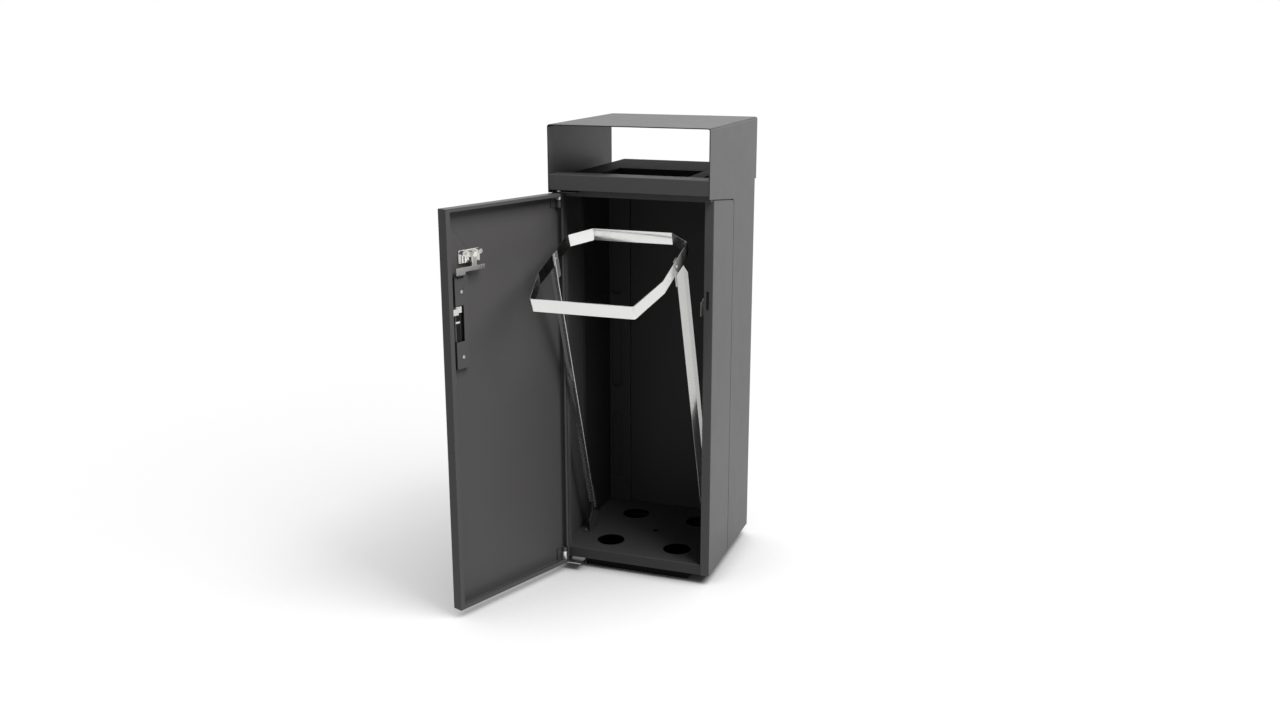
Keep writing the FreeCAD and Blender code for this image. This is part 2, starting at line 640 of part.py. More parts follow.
pad(front_frame, "lip_header", "XZ", jamb_y + inner_sheet, jamb_lip, [header_lip])
return_corner = along_axis(0, y=return_end, z=seam_top - groove_gap)
rounded(front_frame, "return_bends", groove_bend - groove_gap, return_corner)
rounded(front_frame, "front_bends", inner_sheet * 0.9, along_axis(2, y=jamb_y, side=half_width))

# Rear wall, with a tongue up to the hopper
back_panel = body("back_panel")
pan_top = sill_top - inner_sheet
pan_rear_run = hood_back - (hood_y + mouth_front + mouth_length)
pan_under = pan_fall * (rear_overhang + inner_sheet) / pan_rear_run
wall_top = pan_top - inner_sheet - pan_under - wall_clear
wall_tongue = pan_width / 2 - wall_tongue_gap
wall = [
    (-inside_half, plinth_height),
    (inside_half, plinth_height),
    (inside_half, side_end_height),
    (wall_tongue, side_end_height),
    (wall_tongue, wall_top),
    (-wall_tongue, wall_top),
    (-wall_tongue, side_end_height),
    (-inside_half, side_end_height),
]
pad(back_panel, "wall_sheet", "XZ", wall_front, inner_sheet, [wall])

# Crosspiece and sill under the front of the chute
fascia = body("fascia")
channel = [
    (hood_y, fascia_foot),
    (jamb_y + inner_sheet, fascia_foot),
    (jamb_y + inner_sheet, fascia_foot + inner_sheet),
    (hood_y + inner_sheet, fascia_foot + inner_sheet),
    (hood_y + inner_sheet, sill_top - inner_sheet),
    (hood_y + sill_depth, sill_top - inner_sheet),
    (hood_y + sill_depth, sill_top),
    (hood_y, sill_top),
]
pad(fascia, "fascia_channel", "YZ", -inside_half, inside_half * 2, [channel])
rounded(fascia, "fascia_bends", inner_sheet * 0.9, along_axis(0, y=hood_y))

# Hopper: a folded pan with four sloping sides, the hole, its collar and a rear lip
hopper = body("hopper")
rim = rectangle(-pan_width / 2, hood_y + pan_front, pan_width / 2, hood_back)
mouth_y = hood_y + mouth_front
mouth_end = mouth_y + mouth_length
mouth = rectangle(-mouth_width / 2, mouth_y, mouth_width / 2, mouth_end)


def pan_wedge(kind, name, top):
    """A frustum between the pan's rim and its hole, with its wide end up."""
    feature = hopper.newObject(kind, name)
    plane = [item for item in hopper.Origin.OriginFeatures if item.Role == "XY_Plane"][0]
    feature.AttachmentSupport = [(plane, "")]
    feature.MapMode = "FlatFace"
    upright = FreeCAD.Rotation(FreeCAD.Vector(1, 0, 0), 90)
    feature.AttachmentOffset = FreeCAD.Placement(FreeCAD.Vector(), upright)
    feature.setExpression("AttachmentOffset.Base.z", text(top - pan_fall))
    levels = (("2", pan_width, hood_y + pan_front, hood_back), ("", mouth_width, mouth_y, mouth_end))
    for prefix, across, near_y, far_y in levels:
        feature.setExpression("X" + prefix + "min", text(-(across / 2)))
        feature.setExpression("X" + prefix + "max", text(across / 2))
        feature.setExpression("Z" + prefix + "min", text(-far_y))
        feature.setExpression("Z" + prefix + "max", text(-near_y))
    feature.setExpression("Ymin", "0")
    feature.setExpression("Ymax", text(pan_fall))
    hopper.Tip = feature
    return feature


pan_wedge("PartDesign::AdditiveWedge", "pan_outside", pan_top - inner_sheet)
pad(hopper, "pan_rim", "XY", pan_top - inner_sheet, inner_sheet, [rim])
pan_wedge("PartDesign::SubtractiveWedge", "pan_inside", pan_top)
cut(hopper, "pan_mouth", "XY", pan_top - pan_fall - inner_sheet * 2, pan_fall + inner_sheet * 2, [mouth])
collar_outside = rectangle(
    -mouth_width / 2 - inner_sheet,
    mouth_y - inner_sheet,
    mouth_width / 2 + inner_sheet,
    mouth_end + inner_sheet,
)
collar_top = pan_top - pan_fall
pad(hopper, "collar", "XY", collar_top - collar_depth, collar_depth, [collar_outside, mouth])
rear_lip = rectangle(-pan_width / 2, pan_top - pan_lip, pan_width / 2, pan_top - inner_sheet)
pad(hopper, "rear_lip", "XZ", hood_back - inner_sheet, inner_sheet, [rear_lip])

# Slotted uprights in the rear corners
for side, name in ((-1, "rear_post_left"), (1, "rear_post_right")):
    post = body(name)
    outer_x = inside_half * side
    inner_x = (inside_half - post_width) * side
    lip_x = (inside_half - post_width + inner_sheet) * side
    post_front = wall_front - post_standoff
    left, right = (outer_x, inner_x) if side < 0 else (inner_x, outer_x)
    slots = []
    slot_x = (inside_half - post_slot_inset) * side
    slotted = header_foot - floor_top - post_foot - post_head
    slot_length = (slotted - post_bridge * (post_slots - 1)) / post_slots
    for count in range(post_slots):
        slot_z = floor_top + post_foot + slot_length / 2 + (slot_length + post_bridge) * count
        slots.append(("slot", slot_x, slot_z, post_slot_width, slot_length))
    flat = rectangle(left, floor_top, right, header_foot)
    pad(post, name + "_flat", "XZ", post_front, inner_sheet, [flat] + slots)
    left, right = (lip_x, inner_x) if side < 0 else (inner_x, lip_x)
    back = rectangle(left, floor_top, right, header_foot)
    pad(post, name + "_back", "XZ", post_front + inner_sheet, post_standoff - inner_sheet, [back])
    rounded(post, name + "_bend", inner_sheet * 0.9, along_axis(2, x=inner_x, y=post_front))

# Lugs on the floor that carry the bag frame, and their bolts
foot_x = half_width - foot_gap
lug_x = foot_x + foot_thick / 2 + side_gap
bolts = body("foot_bolts")
for side, name in ((-1, "foot_bracket_left"), (1, "foot_bracket_right")):
    lug = body(name)
    start = lug_x if side > 0 else -lug_x - foot_thick
    profile = [
        (pivot_y - lug_base / 2, floor_top),
        (pivot_y + lug_base / 2, floor_top),
        (pivot_y + lug_base / 2, pivot_height - lug_low_shoulder),
        (pivot_y + lug_top / 2, pivot_height - lug_high_shoulder),
        (pivot_y + lug_top / 2, pivot_height + lug_top / 2),
        (pivot_y - lug_top / 2, pivot_height + lug_top / 2),
        (pivot_y - lug_top / 2, pivot_height - lug_high_shoulder),
        (pivot_y - lug_base / 2, pivot_height - lug_low_shoulder),
    ]
    hole = ("round", pivot_y, pivot_height, pivot_pin + running_gap * 2)
    pad(lug, name + "_web", "YZ", start, foot_thick, [profile, hole])
    rounded(lug, name + "_top", lug_top * 0.46, along_axis(0, z=pivot_height + lug_top / 2))
    flange_left = start + foot_thick if side > 0 else start - lug_flange
    flange_right = flange_left + lug_flange
    flange = rectangle(flange_left, pivot_y - lug_base / 2, flange_right, pivot_y + lug_base / 2)
    bolt_places = [(flange_left + lug_flange / 2, pivot_y + lug_base * 0.3 * end) for end in (-1, 1)]
    bolt_holes = [("round", across, along, screw_shank * 1.2) for across, along in bolt_places]
    pad(lug, name + "_flange", "XY", floor_top, foot_thick, [flange] + bolt_holes)
    for index, (across, along) in enumerate(bolt_places):
        tag = name[13:] + "_" + str(index)
        shank = [("round", across, along, screw_shank * 1.2)]
        pad(bolts, "bolt_shank_" + tag, "XY", floor_top, foot_thick, shank)
        head = hexagon_at(across, along, screw_head)
        pad(bolts, "bolt_head_" + tag, "XY", floor_top + foot_thick, screw_shank * 0.8, [head])


# Strike: a tongue on the lock jamb's lip with a notch that the finger drops into
strike = body("strike")
strike_left = opening_right - tongue_shift - tongue_thick
tongue_front = jamb_y - tongue_proud
finger_t = inner_sheet + bar_clear + bar_thick + nose_reach
notch_middle = door_y + finger_t + finger_thick / 2
notch_left = notch_middle - tongue_notch_wide / 2
notch_right = notch_middle + tongue_notch_wide / 2
strike_back = jamb_y + jamb_lip - inner_sheet
strike_top = tongue_top + tongue_over
strike_outline = [
    (tongue_front, tongue_top - tongue_tall),
    (strike_back, tongue_top - tongue_tall),
    (strike_back, strike_top),
    (jamb_y, strike_top),
    (jamb_y, tongue_top),
    (notch_right, tongue_top),
    (notch_right, tongue_top - tongue_notch),
    (notch_left, tongue_top - tongue_notch),
    (notch_left, tongue_top),
    (tongue_front, tongue_top),
]
pad(strike, "strike_plate", "YZ", strike_left, tongue_thick, [strike_outline])
strike_foot = rectangle(jamb_y + inner_sheet, tongue_top - tongue_tall, strike_back, strike_top)
pad(strike, "strike_foot", "YZ", strike_left + tongue_thick, tongue_shift, [strike_foot])
rounded(strike, "strike_corner", tongue_thick / 3, along_axis(0, y=tongue_front))

# Brackets that carry the door, one under it and one over it
bracket_left = hinge_x - bracket_edge
bracket_right = bracket_left + bracket_length
bracket_front = hinge_y - bracket_edge
lower_top = door_foot - washer_gap
hinge_bracket_lower = body("hinge_bracket_lower")
pin_hole = ("round", hinge_x, hinge_y, pin_diameter + running_gap * 2)
lower_back = jamb_y + bracket_back
lower_plate = rectangle(bracket_left, bracket_front, bracket_right, lower_back)
lower_under = lower_top - bracket_sheet
pad(hinge_bracket_lower, "lower_plate", "XY", lower_under, bracket_sheet, [lower_plate, pin_hole])
lower_step = rectangle(bracket_right - bracket_step, jamb_y + inner_sheet, bracket_right, lower_back)
pad(hinge_bracket_lower, "lower_step", "XY", lower_top, plinth_height - lower_top, [lower_step])
rounded(hinge_bracket_lower, "lower_corner", bracket_corner, along_axis(2, x=bracket_left, y=bracket_front))
upper_foot = door_top + washer_gap
hinge_bracket_upper = body("hinge_bracket_upper")
upper_plate = rectangle(bracket_left, bracket_front, bracket_right, jamb_y)
pad(hinge_bracket_upper, "upper_plate", "XY", upper_foot, bracket_sheet, [upper_plate, pin_hole])
tab_left = bracket_right - bracket_tab
upper_tab = rectangle(tab_left, upper_foot + bracket_sheet, bracket_right, fascia_foot - washer_gap)
pad(hinge_bracket_upper, "upper_tab", "XZ", jamb_y - inner_sheet, inner_sheet, [upper_tab])
rounded(hinge_bracket_upper, "upper_corner", bracket_corner, along_axis(2, x=bracket_left, y=bracket_front))

# Rivets of the upper bracket and of the strike
case_rivets = body("case_rivets")
small_rivet = rivet_head * 0.45
for index in (0, 1):
    across = bracket_right - bracket_rivet_inset - bracket_rivet_pitch * index
    head = ("round", across, (upper_foot + bracket_sheet + fascia_foot) / 2, small_rivet)
    rivet_front = jamb_y - inner_sheet - rivet_dome / 2
    pad(case_rivets, "bracket_rivet_" + str(index), "XZ", rivet_front, rivet_dome / 2, [head])
for index in (0, 1):
    up = tongue_top - tongue_tall + strike_rivet_up + strike_rivet_pitch * index
    head = ("round", jamb_y + jamb_lip / 2, up, rivet_head * 0.9)
    pad(case_rivets, "strike_rivet_" + str(index), "YZ", strike_left - rivet_dome, rivet_dome, [head])

# Hinge pins with their heads
hinge_pins = body("hinge_pins")
shank = [("round", hinge_x, hinge_y, pin_diameter)]
head = [("round", hinge_x, hinge_y, knuckle_diameter)]
head_height = pin_diameter * 0.3
lower_head = lower_top - bracket_sheet - head_height
upper_head = upper_foot + bracket_sheet
shank_depth = door_foot + inner_sheet + leaf_height + pin_over - lower_head
pad(hinge_pins, "lower_shank", "XY", lower_head + head_height, shank_depth - head_height, shank)
pad(hinge_pins, "lower_head", "XY", lower_head, head_height, head)
upper_tip = upper_head + head_height - shank_depth
pad(hinge_pins, "upper_shank", "XY", upper_tip, shank_depth - head_height, shank)
pad(hinge_pins, "upper_head", "XY", upper_head, head_height, head)


head_edges = rims(knuckle_diameter, z=(lower_head, upper_head + head_height))
chamfered(hinge_pins, "head_rims", head_height / 3, head_edges)

# Door: a tray with return lips, its face rounded all round
door_panel = body("door_panel")
whole = rectangle(-free_x, door_foot, free_x, door_top)
pad(door_panel, "door_block", "XZ", door_y, door_depth, [whole])
rounded(door_panel, "door_bends", door_bend, lambda e: near(middle_of(e).y, door_y))
lip_x = -free_x + lip_hinge
rim_y = door_y + hinge_rim
rim_run = door_depth - hinge_rim
outside_x = -free_x - relief_gap
clearance = [
    (outside_x, rim_y),
    (lip_x, rim_y),
    (lip_x + rim_run, door_back + 0),
    (outside_x, door_back + 0),
]
cut(door_panel, "door_clearance", "XY", door_foot, door_height, [clearance])
hollow = [
    (-free_x + inner_sheet, door_y + inner_sheet),
    (free_x - inner_sheet, door_y + inner_sheet),
    (free_x - inner_sheet, door_back - inner_sheet),
    (lip_x, door_back - inner_sheet),
    (lip_x, rim_y - inner_sheet),
    (-free_x + inner_sheet, rim_y - inner_sheet),
]
cut(door_panel, "door_hollow", "XY", door_foot + inner_sheet, door_height - inner_sheet * 2, [hollow])
back = rectangle(lip_x, door_foot + lip_foot, free_x - lip_free, door_top - lip_top)
cut(door_panel, "door_opening", "XZ", door_back - inner_sheet, inner_sheet, [back])
relief_x = -free_x + inner_sheet + relief_gap / 2
leaf_tall = leaf_height + leaf_more
relief_tall = leaf_tall + relief_gap
reliefs = []
for low in (door_foot + inner_sheet, door_top - inner_sheet - relief_tall):
    reliefs.append(rectangle(relief_x, low, lip_x + relief_gap / 2, low + relief_tall))
cut(door_panel, "lip_reliefs", "XZ", rim_y - inner_sheet, inner_sheet, reliefs)
loose_pin = ("round", hinge_x, hinge_y, pin_diameter + washer_gap * 2)
cut(door_panel, "pin_holes", "XY", door_foot, door_height, [loose_pin])
core_x = free_x - core_inset
sleeve = core_diameter + nose_wall * 2
cut(door_panel, "nose_hole", "XZ", door_y, inner_sheet, [("round", core_x, core_height, sleeve)])

# Leaves with their knuckles, inside the door at both ends
web_left = hinge_x - leaf_web / 2
web_right = hinge_x + leaf_web / 2
lower_leaf = door_foot + inner_sheet
upper_leaf = door_top - inner_sheet - leaf_tall
for name, foot in (("hinge_leaf_lower", lower_leaf), ("hinge_leaf_upper", upper_leaf)):
    leaf = body(name)
    skin_y = door_y + inner_sheet
    plate = rectangle(web_left, skin_y, hinge_x + leaf_reach, skin_y + bracket_sheet)
    web = rectangle(web_left, skin_y + bracket_sheet, web_right, hinge_y)
    pad(leaf, name + "_plate", "XY", foot, leaf_tall, [plate])
    pad(leaf, name + "_web", "XY", foot, leaf_tall, [web])
    pad(leaf, name + "_knuckle", "XY", foot, leaf_tall, [("round", hinge_x, hinge_y, knuckle_diameter)])
    cut(leaf, name + "_bore", "XY", foot, leaf_tall, [pin_hole])

# Lock case, its round nose outside, and the guard over the sliding bar
skin = door_y + inner_sheet
lock_case = body("lock_case")
case_right = free_x - case_left
running_core = core_diameter + running_gap * 2
case_outline = rectangle(case_right - case_wide, case_low, case_right, case_low + case_tall)
core_bore = ("round", core_x, core_height, running_core)
pad(lock_case, "case_block", "XZ", skin, case_thick, [case_outline, core_bore])
rounded(lock_case, "case_corners", inner_sheet, along_axis(1))

lock_escutcheon = body("lock_escutcheon")
nose_round = ("round", core_x, core_height, nose_diameter)
sleeve_round = ("round", core_x, core_height, sleeve)
nose_front = door_y - nose_high
pad(lock_escutcheon, "nose_ring", "XZ", nose_front, nose_high, [nose_round, core_bore])
pad(lock_escutcheon, "nose_sleeve", "XZ", door_y, inner_sheet, [sleeve_round, core_bore])
chamfered(lock_escutcheon, "nose_rim", nose_high * 0.6, rims(nose_diameter, y=(nose_front,)))

bolt_guard = body("bolt_guard")
guard_right = free_x - guard_left
guard_x = guard_right - guard_wide
guard_face = skin + guard_thick
screw_x = guard_right - guard_screw_inset
guard_section = [
    (guard_x, skin),
    (guard_x + guard_sheet, skin),
    (guard_x + guard_sheet, guard_face - guard_sheet),
    (guard_right - guard_sheet, guard_face - guard_sheet),
    (guard_right - guard_sheet, skin),
    (guard_right, skin),
    (guard_right, guard_face),
    (guard_x, guard_face),
]
pad(bolt_guard, "guard_channel", "XY", guard_low, guard_tall, [guard_section])
rounded(bolt_guard, "guard_bends", guard_sheet * 0.9, along_axis(2, y=guard_face))
notch = rectangle(guard_right - notch_wide, notch_low, guard_right + 1, notch_low + notch_tall)
cut(bolt_guard, "guard_notch", "XZ", skin - 1, guard_thick + 2, [notch])
dip_left = guard_right - dip_inset
guard_top = guard_low + guard_tall
dip = rectangle(dip_left, guard_top - dip_deep, dip_left + dip_wide, guard_top + 1)
cut(bolt_guard, "guard_dip", "XZ", guard_face - guard_sheet - 1, guard_sheet + 2, [dip])
screw_heights = [guard_low + guard_screw_up, guard_top - guard_screw_down]
screw_holes = [("round", screw_x, up, screw_shank) for up in screw_heights]
cut(bolt_guard, "guard_holes", "XZ", guard_face - guard_sheet - 1, guard_sheet + 2, screw_holes)

# Screws of the guard and of the lock case
door_screws = body("door_screws")
for index, up in enumerate(screw_heights):
    tag = str(index)
    pad(door_screws, "guard_shank_" + tag, "XZ", skin, guard_thick, [("round", screw_x, up, screw_shank)])
    head = [("round", screw_x, up, screw_head)]
    pad(door_screws, "guard_head_" + tag, "XZ", guard_face, guard_screw_high, head)
case_screws = (case_right - case_screw_inset, case_right - case_wide + case_screw_inset)
for index, across in enumerate(case_screws):
    head = [("round", across, case_low + case_tall - case_screw_inset, screw_head * 0.7)]
    pad(door_screws, "case_head_" + str(index), "XZ", skin + case_thick, case_screw_high, head)
head_edges = rims(screw_head, y=(guard_face + guard_screw_high,))
chamfered(door_screws, "screw_rims", guard_screw_high / 3, head_edges)

# Lock works: the core with its keyway, the lever that swings down, and its nut
lever_y = skin + case_thick + washer_gap
lock_core = body("lock_core")
barrel = ("round", core_x, core_height, core_diameter)
stud = ("round", core_x, core_height, core_diameter * 0.57)
pad(lock_core, "core_barrel", "XZ", door_y - 1, lever_y - door_y + 1, [barrel])
pad(lock_core, "core_stud", "XZ", lever_y, lever_thick + nut_thick + washer_gap, [stud])
key_half = keyway_wide / 2
key_tall = keyway_tall / 2
keyway = rectangle(core_x - key_half, core_height - key_tall, core_x + key_half, core_height + key_tall)
cut(lock_core, "core_keyway", "XZ", door_y - 1, 4, [keyway])

lock_lever = body("lock_lever")
lever_tip = free_x - guard_left
lever_foot = guard_top + lever_gap
lever_bar = lever_foot + lever_rise
lever_bar_top = case_low + lever_overlap
strap = core_diameter / 2 + 1
lever_outline = [
    (lever_tip, lever_foot),
    (lever_tip, lever_bar_top),
    (core_x + strap, lever_bar_top),
    (core_x + strap, core_height + strap),
    (core_x - strap, core_height + strap),
    (core_x - strap, lever_bar_top),
    (core_x - lever_back, lever_bar_top),
    (core_x - lever_back, lever_bar),
    (lever_tip - lever_foot_long, lever_bar),
    (lever_tip - lever_foot_long, lever_foot),
]
pad(lock_lever, "lever_plate", "XZ", lever_y, lever_thick, [lever_outline, stud])
bar_y = skin + bar_clear
pusher_right = lever_tip - pusher_inset
pusher = rectangle(pusher_right - pusher_long, lever_foot, pusher_right, lever_foot + lever_thick)
pad(lock_lever, "lever_pusher", "XZ", bar_y + 1, lever_y - bar_y - 1, [pusher])
rounded(lock_lever, "lever_corners", strap * 0.6, along_axis(1, z=core_height + strap))

lock_nut = body("lock_nut")
hexagon = hexagon_at(core_x, core_height, nut_width)
pad(lock_nut, "nut_block", "XZ", lever_y + lever_thick, nut_thick, [hexagon, stud])

# Sliding bar with its nose, and the finger that locks
bolt_bar = body("bolt_bar")
bar_right = free_x - bar_inset
bar_left = bar_right - bar_wide
flat = rectangle(bar_left, bar_low, bar_right, bar_low + bar_tall)
pad(bolt_bar, "bar_flat", "XZ", bar_y, bar_thick, [flat])
nose = rectangle(bar_left, nose_low, bar_right + nose_side, nose_low + nose_tall)
pad(bolt_bar, "bar_nose", "XZ", bar_y + bar_thick, nose_reach, [nose])
bolt_finger = body("bolt_finger")
finger_y = bar_y + bar_thick + nose_reach
finger_right = free_x - finger_inset
finger_outline = rectangle(finger_right - finger_long, finger_foot, finger_right, finger_foot + finger_tall)
pad(bolt_finger, "finger_flat", "XZ", finger_y, finger_thick, [finger_outline])
rounded(bolt_finger, "finger_tip", finger_thick * 0.35, along_axis(2, x=finger_right))

# Bag frame, drawn upright about its pivot: the ring
bag_ring = body("bag_ring")
ring_y = -pivot_back
ring_low_z = ring_rise - strip_height
half_ring = ring_width / 2
ring_front_half = half_width - ring_front_gap
ring_rear_half = half_width - ring_rear_gap
ring_outline = [
    (-ring_front_half, ring_y + 0),
    (ring_front_half, ring_y + 0),
    (half_ring, ring_y + ring_front_run),
    (half_ring, ring_y + ring_length - ring_rear_run),
    (ring_rear_half, ring_y + ring_length),
    (-ring_rear_half, ring_y + ring_length),
    (-half_ring, ring_y + ring_length - ring_rear_run),
    (-half_ring, ring_y + ring_front_run),
]
pad(bag_ring, "ring_block", "XY", ring_low_z, strip_height, [ring_outline])
rounded(bag_ring, "ring_bends", ring_bend, along_axis(2))
doc.recompute()
ring_ends = []
for index, face in enumerate(bag_ring.Tip.Shape.Faces):
    middle = face.CenterOfMass.z
    if near(middle, ring_low_z) or near(middle, ring_rise):
        ring_ends.append("Face" + str(index + 1))
ring_base = bag_ring.Tip
ring_wall = bag_ring.newObject("PartDesign::Thickness", "ring_wall")
ring_wall.Base = (ring_base, ring_ends)
ring_wall.Reversed = True
ring_wall.setExpression("Value", text(strip_thick))
bag_ring.Tip = ring_wall
rivet_y = -tab_forward - tab_wide * 0.7
rivet_z = ring_rise - strip_height / 2
ring_holes = [("round", rivet_y, rivet_z, screw_shank)]
cut(bag_ring, "ring_holes", "YZ", -half_ring - 1, ring_width + 2, ring_holes)

# Arms, feet, rivets and pivot pins on both sides
arm_rivets = body("arm_rivets")
pivot_pins = body("pivot_pins")
for side, name in ((-1, "left"), (1, "right")):
    arm = body("arm_" + name)
    fold_x = half_width - arm_fold_gap
    fold_y = -arm_fold_forward
    leg = (fold_x - arm_leg * cosine(arm_leg_turn), fold_y - arm_leg * sine(arm_leg_turn))
    wing = (fold_x + arm_wing * cosine(arm_wing_turn), fold_y + arm_wing * sine(arm_wing_turn))
    middle_turn = (arm_leg_turn + arm_wing_turn) / 2
    mitre = arm_thick / cosine((arm_leg_turn - arm_wing_turn) / 2)
    section = [
        leg,
        (fold_x, fold_y),
        wing,
        (wing[0] - arm_thick * sine(arm_wing_turn), wing[1] + arm_thick * cosine(arm_wing_turn)),
        (fold_x - mitre * sine(middle_turn), fold_y + mitre * cosine(middle_turn)),
        (leg[0] - arm_thick * sine(arm_leg_turn), leg[1] + arm_thick * cosine(arm_leg_turn)),
    ]
    section = [(x * side, y) for x, y in section]
    point_z = ring_rise - arm_point
    pad(arm, "strip_" + name, "XY", arm_end_gap, point_z - arm_end_gap, [section])
    shoulder_z = point_z - arm_slope
    for kind, far_x in (("inner", leg[0] - slant_inner), ("outer", wing[0] + slant_outer)):
        slant = [(fold_x, point_z), (fold_x, point_z + 1), (far_x, point_z + 1), (far_x, shoulder_z)]
        slant = [(x * side, z) for x, z in slant]
        cut(arm, "slant_" + kind + "_" + name, "XZ", leg[1] - arm_leg / 4, arm_leg * 2, [slant])
    tab_x = half_ring - strip_thick - foot_thick
    tab_outline = rectangle(-tab_forward - tab_wide, ring_rise - tab_long, -tab_forward, ring_rise + 0)
    tab_start = tab_x + 0 if side > 0 else -tab_x - foot_thick
    pad(arm, "tab_" + name, "YZ", tab_start, foot_thick, [tab_outline, ring_holes[0]])

    foot = body("arm_foot_" + name)
    foot_in = foot_x - foot_thick / 2
    foot_out = foot_x + foot_thick / 2
    slope = sine(arm_leg_turn) / cosine(arm_leg_turn)
    rise = arm_thick / cosine(arm_leg_turn)
    foot_section = [
        (foot_in, fold_y - (fold_x - foot_in) * slope + rise),
        (foot_out, fold_y - (fold_x - foot_out) * slope + rise),
        (foot_out, foot_behind + 0),
        (foot_in, foot_behind + 0),
    ]
    foot_section = [(x * side, y) for x, y in foot_section]
    pad(foot, "foot_flat_" + name, "XY", -foot_below, foot_below + foot_above, [foot_section])
    foot_start = foot_in - 1 if side > 0 else -foot_out - 1
    cut(foot, "foot_eye_" + name, "YZ", foot_start, foot_thick + 2, [("round", 0, 0, pivot_pin)])

    pin = [("round", 0, 0, pivot_pin)]
    pin_head = [("round", 0, 0, pivot_pin * 1.5)]
    pin_long = foot_thick * 2 + side_gap + pin_past
    pin_start = foot_in + 0 if side > 0 else -foot_in - pin_long
    head_start = foot_in - pin_head_thick if side > 0 else -foot_in + 0
    pad(pivot_pins, "pin_" + name, "YZ", pin_start, pin_long, pin)
    pad(pivot_pins, "pin_head_" + name, "YZ", head_start, pin_head_thick, pin_head)

    rivet_hole = [("round", rivet_y, rivet_z, screw_shank)]
    rivet_round = [("round", rivet_y, rivet_z, rivet_head)]
    shank_start = tab_x + 0 if side > 0 else -half_ring
    pad(arm_rivets, "rivet_" + name, "YZ", shank_start, foot_thick + strip_thick, rivet_hole)
    out_start = half_ring + 0 if side > 0 else -half_ring - rivet_dome
    in_start = tab_x - rivet_dome if side > 0 else -tab_x
    pad(arm_rivets, "rivet_out_" + name, "YZ", out_start, rivet_dome, rivet_round)
    pad(arm_rivets, "rivet_in_" + name, "YZ", in_start, rivet_dome, rivet_round)

# The door and what it carries turn open, the bag frame leans out
for piece in parts:
    if piece.Label.startswith(("door_", "hinge_leaf", "lock_", "bolt_")):
        turn_with_door(piece)
    if piece.Label.startswith(("bag_", "arm_", "pivot_")):
        lean_with_frame(piece)

doc.recompute()
for thing in doc.Objects:
    if "Invalid" in thing.State or "Error" in thing.State:
        raise RuntimeError(thing.Name + " failed: " + thing.getStatusString())
for piece in parts:
    if piece.Shape.isNull() or not piece.Shape.isValid() or piece.Shape.Volume <= 0:
        raise RuntimeError(piece.Label + " has no valid shape")
os.makedirs("parts", exist_ok=True)
for piece in parts:
    piece.Shape.exportStep("parts/" + piece.Label + ".step")
print(len(parts), "parts written")
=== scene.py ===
import json
import math

import bmesh
import bpy
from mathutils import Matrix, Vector


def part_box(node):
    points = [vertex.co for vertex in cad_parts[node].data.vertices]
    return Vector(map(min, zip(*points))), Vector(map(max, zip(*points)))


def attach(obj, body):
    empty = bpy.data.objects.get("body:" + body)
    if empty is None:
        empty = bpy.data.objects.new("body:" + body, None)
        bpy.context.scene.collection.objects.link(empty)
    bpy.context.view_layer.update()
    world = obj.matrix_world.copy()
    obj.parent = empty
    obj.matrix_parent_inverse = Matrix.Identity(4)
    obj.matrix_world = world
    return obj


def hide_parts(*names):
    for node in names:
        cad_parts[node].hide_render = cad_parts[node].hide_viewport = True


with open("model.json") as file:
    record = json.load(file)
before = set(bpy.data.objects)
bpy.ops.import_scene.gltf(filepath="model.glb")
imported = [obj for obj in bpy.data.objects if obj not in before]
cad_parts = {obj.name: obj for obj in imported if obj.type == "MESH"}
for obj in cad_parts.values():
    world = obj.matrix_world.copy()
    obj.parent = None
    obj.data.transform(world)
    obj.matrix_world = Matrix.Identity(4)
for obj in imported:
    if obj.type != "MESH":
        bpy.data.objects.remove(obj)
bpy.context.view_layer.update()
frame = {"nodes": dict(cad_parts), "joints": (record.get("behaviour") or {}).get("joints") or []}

bl_info = {
    "name": "Outdoor waste bin",
    "version": (1, 0, 0),
    "blender": (4, 5, 0),
    "location": "View3D > Sidebar > Waste bin",
    "description": "Finishes the steel waste bin, its fixings and the studio round it",
    "category": "Object",
}

JOINTS = {joint["name"]: joint for joint in frame["joints"]}
AXES = tuple(Vector(axis) for axis in ((1, 0, 0), (0, 1, 0), (0, 0, 1)))
UP = AXES[2]

# Nodes that keep their mesh and share a finish
PAINTED = ["front_frame", "door_panel", "bolt_guard"]
# Pieces inside the case, whose darker paint is painted shade
SHADED_INSIDE = ["back_panel", "rear_post_left", "rear_post_right"]
BRACKETS = ["foot_bracket_left", "foot_bracket_right", "arm_foot_left", "arm_foot_right"]
LEAVES = ["hinge_leaf_lower", "hinge_leaf_upper", "hinge_bracket_upper"]
LOCK_NICKEL = ["lock_escutcheon", "lock_core", "lock_nut"]
PINS = ["hinge_pins", "pivot_pins"]
ARMS = ["arm_left", "arm_right"]

# Edges of some nodes, as a share of the sheets' broken edge
FOLD_EDGE, STRIP_EDGE, SMALL_EDGE, FINE_EDGE = 2.6, 0.8, 0.6, 0.4
BEVELLED_FROM, SMOOTH_TO = math.radians(40), math.radians(35)
WELD_REACH = 0.000001

# Widths of the finishes' patterns and depth of their bumps, in metres
CLOUD_WIDTH, SATIN_WIDTH, PEEL_DEPTH = 0.16, 0.05, 0.00012
MARK_WIDTH, STAIN_WIDTH, MARK_DEPTH = 0.0012, 0.035, 0.00002
CRYSTALS_PER_METRE = 260.0
# How strongly the paint's flecks show, how dark they are, and where most of a noise lies
FLECK_SHARE, FLECK_TONE = 0.18, 0.82
NOISE_SPAN = (0.3, 0.7)

# Bare part of the hinge knuckles: how far round the axis, and above or below which heights
KNUCKLE_REACH, KNUCKLES_ABOVE, KNUCKLES_BELOW = 0.0079, 1.07, 0.052
